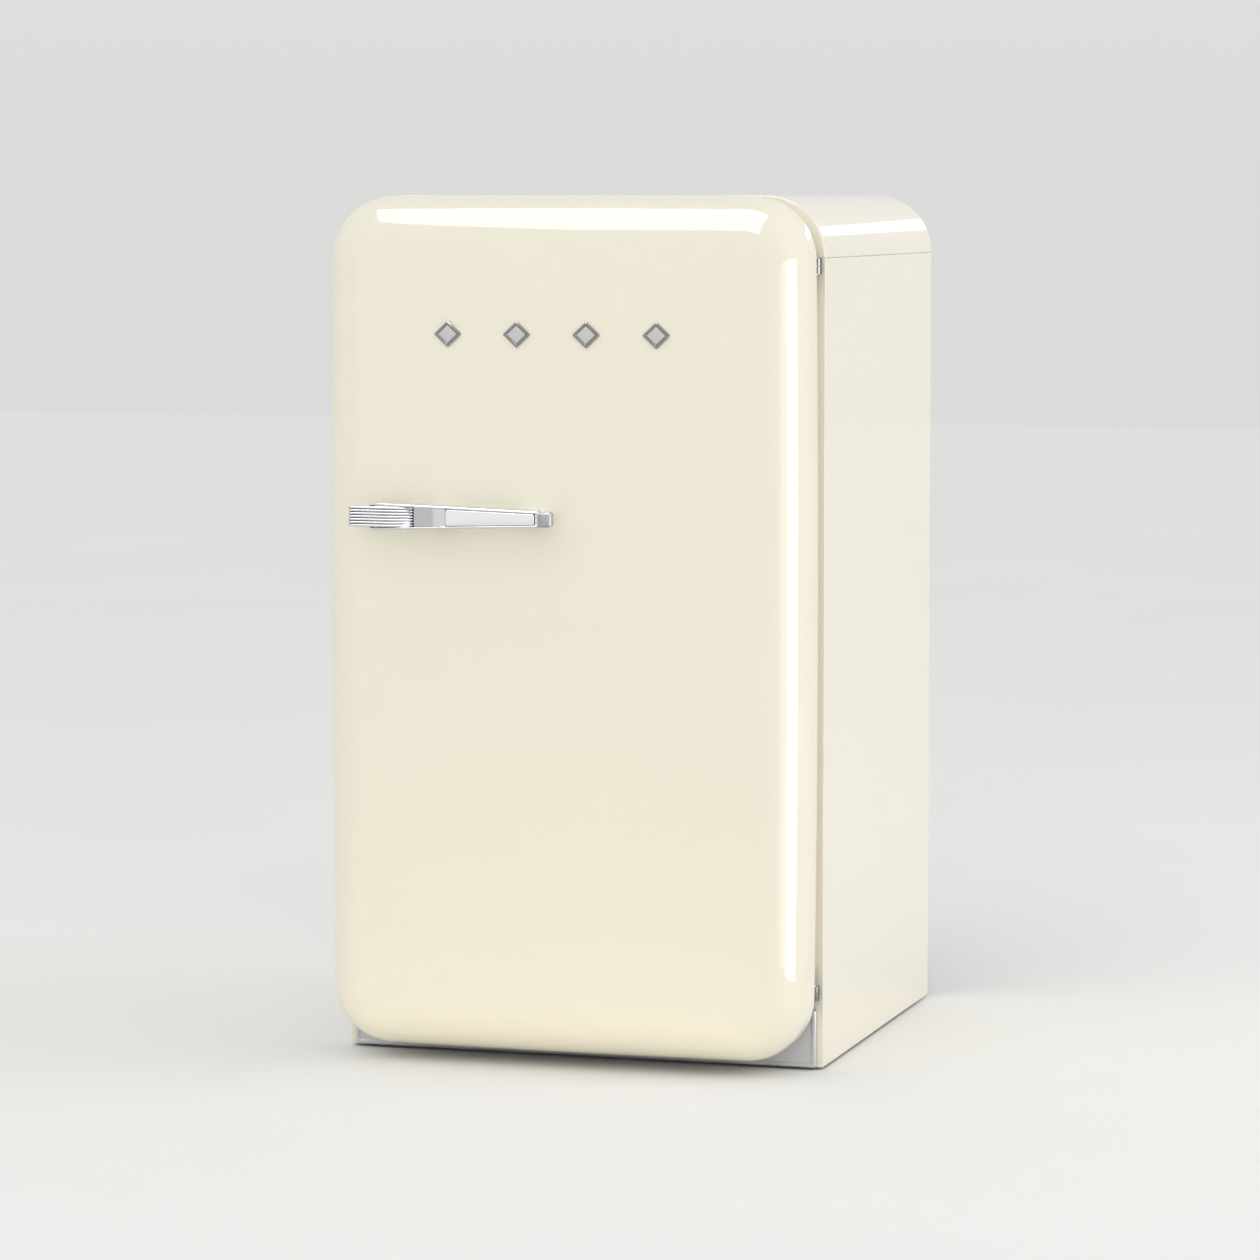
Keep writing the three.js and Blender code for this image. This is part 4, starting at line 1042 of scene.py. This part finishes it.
def make_compressor_can(low, high):
    """A welded can: a domed pan, the seam's flange and a domed lid."""
    base = low.z + 2.5 * MM
    top = high.z - base
    lid = 92 * MM
    profile = pairs_mm((0.5, 0.2))
    for turn in quarter_turn(8):
        profile.append((30 * MM + 27.4 * MM * math.sin(turn), 22 * MM * (1 - math.cos(turn)) + 0.2 * MM))
    profile += pairs_mm(
        (57.6, 65), (60.6, 65.6), (61.6, 66.6), (61.6, 70), (60.6, 71), (57.4, 71.6), (56.8, 74),
    )
    for turn in quarter_turn(9):
        profile.append((16.6 * MM + 40 * MM * math.cos(turn), lid + (top - lid) * math.sin(turn)))
    profile.append((0.5 * MM, top))
    shape = lathe(profile, (0, COMPRESSOR_Y, base), steps=64, scale=(1.25, 0.92))
    piece("compressor_can", shape, "black_paint", CABINET, replaces=("compressor",), sharp_angle=40)


def make_compressor():
    """The can on its foot plate, with rubber grommets and bolts at the corners."""
    low, high = box("compressor")
    make_compressor_can(low, high)
    foot_top = low.z + 3.5 * MM
    edge = 0.8 * MM
    plate = []
    for inset, z in ((MM, low.z + 0.1 * MM), (0, low.z + edge), (0, foot_top - edge), (MM, foot_top)):
        loop = rounded_loop(98 * MM - inset, 44 * MM - inset, 9 * MM, 6)
        plate.append([(x, COMPRESSOR_Y + y, z) for x, y in loop])
    piece("compressor_foot", loft(plate), "zinc_steel", CABINET)
    grommet = pairs_mm((5, 0), (8, 0.5), (8, 3.4), (6, 4.2), (6, 6), (8, 6.6), (7.5, 9), (4, 9.6))
    bolt = pairs_mm((3.9, 0), (3.9, 3), (3.2, 3.6), (1, 3.8))
    for index, (side_x, side_y) in enumerate(((1, 1), (1, -1), (-1, 1), (-1, -1))):
        x = side_x * 86 * MM
        y = COMPRESSOR_Y + side_y * 33 * MM
        shape = lathe(grommet, (x, y, foot_top), steps=24)
        piece(f"compressor_grommet_{index + 1}", shape, "black_plastic", CABINET)
        shape = lathe(bolt, (x, y, foot_top + 9.4 * MM), steps=6)
        piece(f"compressor_bolt_{index + 1}", shape, "zinc_steel", CABINET, sharp_angle=30)


def make_pipes():
    """Copper suction and discharge pipes from the can, up the bay, with a filter dryer."""
    can_z = box("compressor")[0].z
    riser_x = 142    # the discharge pipe rises here, through the dryer
    riser_y = 40

    def pipe(places, bend, radius):
        """A pipe through places given in millimetres from the middle of the compressor's base."""
        points = [(x * MM, COMPRESSOR_Y + y * MM, can_z + z * MM) for x, y, z in places]
        return tube(rounded_path(points, bend), radius, 14)

    suction = pipe([(68, 6, 45), (112, 6, 45), (112, 30, 45), (112, 30, 150)], 10 * MM, 3.2 * MM)
    risen = [(riser_x, riser_y, 30), (riser_x, riser_y, 160)]
    discharge = pipe([(64, 16, 30), (riser_x, 16, 30)] + risen, 10 * MM, 2.5 * MM)
    process = pipe([(60, -16, 46), (98, -16, 46), (98, -16, 82)], 8 * MM, 3 * MM)
    piece("compressor_pipes", merged(suction, discharge, process), "copper", CABINET)
    dryer = pairs_mm((2.6, 0), (3, 8), (7.4, 16), (8, 20), (8, 62), (7.4, 66), (3, 74), (2.6, 82))
    shape = lathe(dryer, (riser_x * MM, COMPRESSOR_Y + riser_y * MM, can_z + 64 * MM), steps=28)
    piece("filter_dryer", shape, "copper", CABINET)


CONDENSER_Y = 318 * MM
CONDENSER_HALF = 205 * MM
CONDENSER_BOTTOM = 275 * MM
CONDENSER_PITCH = 76 * MM
CONDENSER_PASSES = 9
CONDENSER_WIRES = 48
WIRE_OVERHANG = 14 * MM
STRAP_X = 180 * MM
STRAP_HALF = 6 * MM


def serpentine_points():
    """The condenser tube's route: level passes joined by half turns."""
    points = []
    bend = CONDENSER_PITCH / 2
    for level in range(CONDENSER_PASSES):
        side = 1 if level % 2 == 0 else -1
        z = CONDENSER_BOTTOM + level * CONDENSER_PITCH
        points.append((-side * CONDENSER_HALF, CONDENSER_Y, z))
        points.append((side * CONDENSER_HALF, CONDENSER_Y, z))
        if level == CONDENSER_PASSES - 1:
            break
        for step in range(1, 12):
            turn = 2 * QUARTER * step / 12
            reach = side * (CONDENSER_HALF + bend * 0.975 * math.sin(turn))
            points.append((reach, CONDENSER_Y, z + bend * (1 - math.cos(turn))))
    return points


def make_condenser():
    """One serpentine tube with fine upright wires welded across both of its faces, on two straps."""
    shape = tube(serpentine_points(), 2.6 * MM, 16)
    piece("condenser_tube", shape, "black_paint", CABINET, replaces=("condenser",), sharp_angle=60)
    low_z = CONDENSER_BOTTOM - WIRE_OVERHANG
    high_z = CONDENSER_BOTTOM + (CONDENSER_PASSES - 1) * CONDENSER_PITCH + WIRE_OVERHANG
    first = -CONDENSER_HALF + 6 * MM
    wires = []
    for index in range(CONDENSER_WIRES):
        x = first - 2 * first * index / (CONDENSER_WIRES - 1)
        for y in (CONDENSER_Y - 3.2 * MM, CONDENSER_Y + 3.2 * MM):
            wires.append(tube([(x, y, low_z), (x, y, high_z)], 0.7 * MM, 6))
    piece("condenser_wires", merged(*wires), "black_paint", CABINET, sharp_angle=80)
    bottom = low_z - 4 * MM
    top = high_z + 4 * MM
    flats = []
    for x in (-STRAP_X, STRAP_X):
        for z in (bottom, top - 2 * MM):
            flats.append(("clip", x, BACK + 0.4 * MM, CONDENSER_Y - 3 * MM, z, z + 2 * MM))
        flats.append(("strap", x, CONDENSER_Y - 5.6 * MM, CONDENSER_Y - 4 * MM, bottom, top))
    for number, (kind, x, y_low, y_high, z_low, z_high) in enumerate(flats, 1):
        low = (x - STRAP_HALF, y_low, z_low)
        high = (x + STRAP_HALF, y_high, z_high)
        slab(f"condenser_{kind}_{number}", low, high, "black_paint", CABINET, bevel=0.3 * MM)


# ---------- fasteners and feet ----------


def screw(name, place):
    """A pan-head cross-recess screw on the back panel."""
    radius = 3.4 * MM
    head = [(radius, 0), (radius, 0.5 * MM), (radius * 0.9, 1.1 * MM), (radius * 0.6, 1.6 * MM),
            (radius * 0.3, 1.7 * MM)]
    piece(name, lathe(head, place, axis="y", steps=20), "zinc_steel", CABINET, sharp_angle=40)
    arm = radius * 0.55
    slot = 0.35 * MM
    x, y, z = place
    # Two dark slabs in the cross recess: painted shade inside it.
    for turn, (wide, tall) in enumerate(((arm, slot), (slot, arm))):
        low = (x - wide, y + 1.2 * MM, z - tall)
        high = (x + wide, y + 1.78 * MM, z + tall)
        slab(f"{name}_recess_painted_shade_{turn + 1}", low, high, "dark_print_and_painted_shade", CABINET)


def make_back_screws():
    """A row of screws along the top and bottom of the back panel, and three up each side."""
    low, high = box("back_panel")
    outer = 252 * MM
    places = []
    for x in (-outer, -90 * MM, 90 * MM, outer):
        top = high.z - (62 * MM if abs(x) == outer else 22 * MM)    # lower where the arch curves in
        places += [(x, low.z + 12 * MM), (x, top)]
    for x in (-outer, outer):
        places += [(x, 360 * MM), (x, 520 * MM), (x, 680 * MM)]
    for index, (x, z) in enumerate(places):
        screw(f"back_screw_{index + 1}", (x, high.y, z))


def pad_profile(radius):
    """A foot's rounded pad, from the floor up."""
    return [(radius - 3 * MM, 0), (radius - MM, 0.8 * MM), (radius, 2.4 * MM), (radius, 8 * MM),
            (radius - 0.8 * MM, 9.4 * MM), (radius - 3 * MM, 10.2 * MM)]


def thread_profile(outer, start, end):
    """A zigzag that stands for a screw thread."""
    pitch = 1.5 * MM
    profile = []
    along = start
    while along < end:
        profile += [(outer - 0.5 * MM, along), (outer, along + pitch * 0.5)]
        along += pitch
    return profile


FOOT_X = 235 * MM
REAR_FOOT_Y = 275 * MM
LEVELLING_FOOT_Y = -160 * MM


def make_rear_foot(node, x):
    """A turned pad with a plain neck up to the base."""
    top = box(node)[1].z
    neck = 11 * MM
    profile = pad_profile(17 * MM) + [
        (neck + MM, 11.4 * MM), (neck, 12.4 * MM), (neck, top - 0.4 * MM), (neck - MM, top),
    ]
    shape = lathe(profile, (x, REAR_FOOT_Y, 0))
    piece(f"{node}_pad", shape, "black_plastic", CABINET, replaces=(node,))


def make_levelling_foot(node, x):
    """A turned pad on a threaded stem."""
    low, high = box(node)
    place = (x, LEVELLING_FOOT_Y, 0)
    piece(f"{node}_pad", lathe(pad_profile(18 * MM), place), "black_plastic", node, replaces=(node,))
    outer = min((high.x - low.x) / 2, 4 * MM)
    shape = lathe(thread_profile(outer, 10 * MM, high.z), place, steps=24)
    piece(f"{node}_stem", shape, "zinc_steel", node, sharp_angle=80)


# ---------- cabinet lining ----------
BAY_FRONT = 165 * MM
BAY_ROOF = 215 * MM
SILL_TOP = 91 * MM
LINER_ROUND = 33 * MM    # the liner's lower rounded corners: their radius and centre
LINER_ROUND_X = 196 * MM
LINER_ROUND_Z = 124 * MM
FRAME_CORNER_WIDTH = 42 * MM    # from that centre to the frame's square corner
FRAME_CORNER_DROP = 34 * MM


def make_frame_corner(name, side):
    """A thin plate that fills the frame's square corner outside the liner's rounded one."""
    front = FRONT + 2.55 * MM
    back = FRONT + 2.85 * MM
    steps = 12
    rings = []
    for step, turn in enumerate(quarter_turn(steps)):
        inner_x = side * (LINER_ROUND_X + LINER_ROUND * math.cos(turn))
        inner_z = LINER_ROUND_Z - LINER_ROUND * math.sin(turn)
        outer_x = side * (LINER_ROUND_X + FRAME_CORNER_WIDTH * min(2 - 2 * step / steps, 1))
        outer_z = LINER_ROUND_Z - FRAME_CORNER_DROP * min(2 * step / steps, 1)
        rings.append([(inner_x, front, inner_z), (inner_x, back, inner_z),
                      (outer_x, back, outer_z), (outer_x, front, outer_z)])
    piece(f"frame_corner_{name}", loft(rings), "cream_enamel", CABINET, sharp_angle=30)


def make_cabinet_lining():
    """Thin steel sheets that line the machinery bay, and the frame behind the liner's flange."""
    half = HALF_WIDTH - 2.4 * MM
    sheet_top = BAY_ROOF - 0.4 * MM
    wall_front = BAY_FRONT + 0.3 * MM
    wall_low = (-half, wall_front, box("cabinet_foam")[0].z + 2.4 * MM)
    slab("bay_wall", wall_low, (half, BAY_FRONT + 1.2 * MM, sheet_top), "zinc_steel", CABINET)
    roof_low = (-half, wall_front, BAY_ROOF - 1.3 * MM)
    slab("bay_roof", roof_low, (half, BACK - 6 * MM, sheet_top), "zinc_steel", CABINET)
    sill_low = (-half, FRONT + 2.5 * MM, 70 * MM)
    slab("frame_sill", sill_low, (half, FRONT + 2.9 * MM, SILL_TOP), "cream_enamel", CABINET)
    make_frame_corner("left", -1)
    make_frame_corner("right", 1)


# ---------- interior fittings ----------
KNOB_Y = -20 * MM
KNOB_Z = 715 * MM
KNOB_FLUTES = 16


def make_knob():
    """The thermostat knob: a round skirt, a fluted grip and a dark pointer line."""
    low, high = box("thermostat_knob")
    skirt_x = low.x + 8 * MM
    profile = [(15 * MM, high.x - 10.8 * MM), (17 * MM, high.x - 11.2 * MM), (17 * MM, skirt_x + 0.8 * MM),
               (16 * MM, skirt_x), (13.2 * MM, skirt_x - 0.2 * MM)]
    piece(
        "knob_skirt", lathe(profile, (0, KNOB_Y, KNOB_Z), axis="x", steps=48), "white_plastic",
        "thermostat_knob", replaces=("thermostat_knob",), sharp_angle=40,
    )
    rings = []
    grip = [(skirt_x, 0), (low.x + 1.2 * MM, 0.4 * MM), (low.x + 0.4 * MM, 0.9 * MM), (low.x, 2 * MM)]
    for x, inset in grip:
        ring = []
        for turn in whole_turn(6 * KNOB_FLUTES):
            radius = 12.6 * MM - inset + 0.35 * MM * math.cos(KNOB_FLUTES * turn)
            ring.append((x, KNOB_Y + radius * math.cos(turn), KNOB_Z + radius * math.sin(turn)))
        rings.append(ring)
    piece("knob_grip", loft(rings), "white_plastic", "thermostat_knob", sharp_angle=40)
    pointer_low = (low.x - 0.2 * MM, KNOB_Y - 0.8 * MM, KNOB_Z + 3 * MM)
    pointer_high = (low.x + 0.6 * MM, KNOB_Y + 0.8 * MM, KNOB_Z + 10.5 * MM)
    slab("knob_pointer", pointer_low, pointer_high, "dark_print_and_painted_shade", "thermostat_knob")


def make_bottle_rail():
    """A bent chrome wire, its ends turned back into the door's liner."""
    low, high = box("bottle_rail")
    z = 262 * MM
    left = low.x + 5 * MM
    right = high.x - 5 * MM
    inner = high.y - 2.5 * MM
    outer = low.y + 5 * MM
    corners = [(left, outer, z), (left, inner, z), (right, inner, z), (right, outer, z)]
    shape = tube(rounded_path(corners, 12 * MM, 8), 2.5 * MM, 16)
    piece("rail_wire", shape, "chrome", DOOR, replaces=("bottle_rail",))


def make_ice_box_channels():
    """Raised channels on the ice box's sides and floor, as on a rolled evaporator."""
    low, high = box("ice_box")
    radius = 1.9 * MM
    channels = []
    for x in (low.x, high.x):
        for rise in mm(30, 54, 78):
            z = low.z + rise
            channels.append(tube([(x, 70 * MM, z), (x, 230 * MM, z)], radius))
    for step in range(6):
        y = 66 * MM + 32 * MM * step
        channels.append(tube([(low.x + 24 * MM, y, low.z), (high.x - 24 * MM, y, low.z)], radius))
    piece("ice_box_channels", merged(*channels), "aluminium", CABINET, sharp_angle=60)


# ---------- studio ----------


def make_floor():
    size = 14
    mesh = bpy.data.meshes.new("floor")
    corners = [(-size, -size, 0), (size, -size, 0), (size, size, 0), (-size, size, 0)]
    mesh.from_pydata(corners, [], [(0, 1, 2, 3)])
    floor = bpy.data.objects.new("floor", mesh)
    bpy.context.collection.objects.link(floor)
    look = Finish("studio_floor", Specular_IOR_Level=0.0)
    look.tone(srgb(240, 240, 239), 0.008, 1.5)
    look.rough(0.5, 0.6, 3.0)
    mesh.materials.append(look.material)


def softbox(name, location, aim, width, height, radiance, shading=True, reflections=True, tint=(1, 1, 1)):
    """A rectangular light given by its brightness, unseen by the camera itself."""
    data = bpy.data.lights.new(name, "AREA")
    data.color = tint
    data.shape = "RECTANGLE"
    data.size = width
    data.size_y = height
    data.energy = radiance * math.pi * width * height
    light = bpy.data.objects.new(name, data)
    light.location = location
    direction = Vector(aim) - Vector(location)
    light.rotation_euler = direction.to_track_quat("-Z", "Y").to_euler()
    light.visible_camera = False
    light.visible_diffuse = shading
    light.visible_glossy = reflections
    bpy.context.collection.objects.link(light)


def make_room():
    """A pale world that grows a little brighter with height."""
    world = bpy.data.worlds.new("studio")
    world.use_nodes = True
    tree = world.node_tree
    background = tree.nodes["Background"]
    background.inputs["Color"].default_value = (0.96, 0.96, 0.955, 1)
    direction = tree.nodes.new("ShaderNodeTexCoord")
    height = tree.nodes.new("ShaderNodeSeparateXYZ")
    glow = tree.nodes.new("ShaderNodeMapRange")
    for socket, value in (("From Min", 0.0), ("From Max", 0.3), ("To Min", 0.74), ("To Max", 0.88)):
        glow.inputs[socket].default_value = value
    tree.links.new(direction.outputs["Generated"], height.inputs["Vector"])
    tree.links.new(height.outputs["Z"], glow.inputs["Value"])
    tree.links.new(glow.outputs["Result"], background.inputs["Strength"])
    bpy.context.scene.world = world
    bpy.context.scene.view_settings.view_transform = "Standard"


def make_lights():
    """Soft boxes that only shade, and crisp panels that are seen only as reflections."""
    def fill(*settings, **options):
        softbox(*settings, reflections=False, **options)

    def panel(*settings):
        softbox(*settings, shading=False)

    right = 0.77    # three panels stand beside the door's right edge, at about its middle height
    level = 0.457
    fill("overhead", (-0.6, -2.2, 3.2), (0, 0, 0.5), 2.4, 2.4, 0.5)
    fill("front_fill", (0.8, -5.2, 1.8), (0, 0, 0.45), 3.0, 2.5, 1.1)
    fill("right_fill", (3.6, 0.7, 1.2), (0, 0, 0.5), 2.0, 2.0, 2.3)
    fill("floor_bounce", (0, -0.4, 0.004), (0, -0.4, 1), 0.6, 0.18, 0.32, tint=(1, 0.88, 0.45))
    panel("top_panel", (-0.1, -1.9, 3.0), (-0.1, -1.9, 0), 2.2, 3.4, 5.2)
    panel("side_panel", (right, -0.345, level), (0.27, -0.345, level), 0.29, 0.894, 5.5)
    panel("side_shoulder", (right, -0.565, level), (0.25, -0.27, level), 0.13, 0.88, 2.0)
    panel("side_fade", (right, -0.7, level), (0.25, -0.27, level), 0.14, 0.86, 0.8)
    panel("rear_panel", (2.2, 12, 3.16), (0.26, 0, 0.92), 3.0, 0.72, 1.3)
    panel("front_card", (-1.9, -5.6, 0.9), (0, 0, 0.6), 3.4, 2.4, 0.25)


# ---------- build ----------
make_camera()
make_floor()
make_room()
make_lights()
make_door_shell()
make_top_cover()
make_plinth()
make_handle_housing()
make_handle_grip()
make_handle_panel()
make_handle_end_cap()
make_handle_post("handle_post_left", base_flare=3 * MM)
make_handle_post("handle_post_right", base_flare=2.5 * MM)
for number in range(1, 5):
    make_emblem(f"emblem_{number}")
make_gasket()
make_bins()
make_drawer()
make_compressor()
make_pipes()
make_condenser()
make_back_screws()
for make_foot, name in ((make_rear_foot, "rear_foot"), (make_levelling_foot, "levelling_foot")):
    make_foot(f"{name}_left", -FOOT_X)
    make_foot(f"{name}_right", FOOT_X)
make_cabinet_lining()
make_knob()
make_bottle_rail()
make_ice_box_channels()
make_tub("evaporation_pan", "black_plastic", CABINET, radius=10 * MM, wall=2 * MM, rim=1.2 * MM)

# The CAD nodes that keep their own mesh, with the edge radius of each in millimetres.
SOFTENED = {
    "cream_enamel": {"side_panel_left": 0.6, "side_panel_right": 0.6, "front_bottom_rail": 0.5},
    "zinc_steel": {"base_tray": 0.4, "compressor_rail": 0.6, "back_panel": 0.3},
    "white_plastic": {
        "inner_liner": 0.9, "door_liner": 0.9, "drain_tube": 0.4, "control_housing": 2.0,
        "crisper_cover_trim": 0.5, "lower_shelf_trim": 0.5, "upper_shelf_trim": 0.5,
    },
    "insulating_foam": {"cabinet_foam": 0.5, "door_foam": 0.5},
    "hinge_steel": {
        "upper_hinge_bracket": 0.5, "lower_hinge_bracket": 0.5,
        "upper_door_leaf": 0.5, "lower_door_leaf": 0.5,
    },
    "brushed_steel": {"upper_hinge_pin": 0.6, "lower_hinge_pin": 0.6, "ice_flap_pin": 0.3},
    "black_plastic": {
        "compressor_relay_box": 1.5, "power_cord_gland": 0.8,
        "wall_spacer_left": 1.0, "wall_spacer_right": 1.0,
    },
    "shelf_glass": {"crisper_cover_glass": 0.6, "lower_shelf_glass": 0.6, "upper_shelf_glass": 0.6},
    "frosted_plastic": {"ice_flap": 0.8, "lamp_lens": 1.5},
    "aluminium": {"ice_box": 0.8},
}
for finish, radii in SOFTENED.items():
    for node, radius in radii.items():
        soften(node, finish, radius * MM)
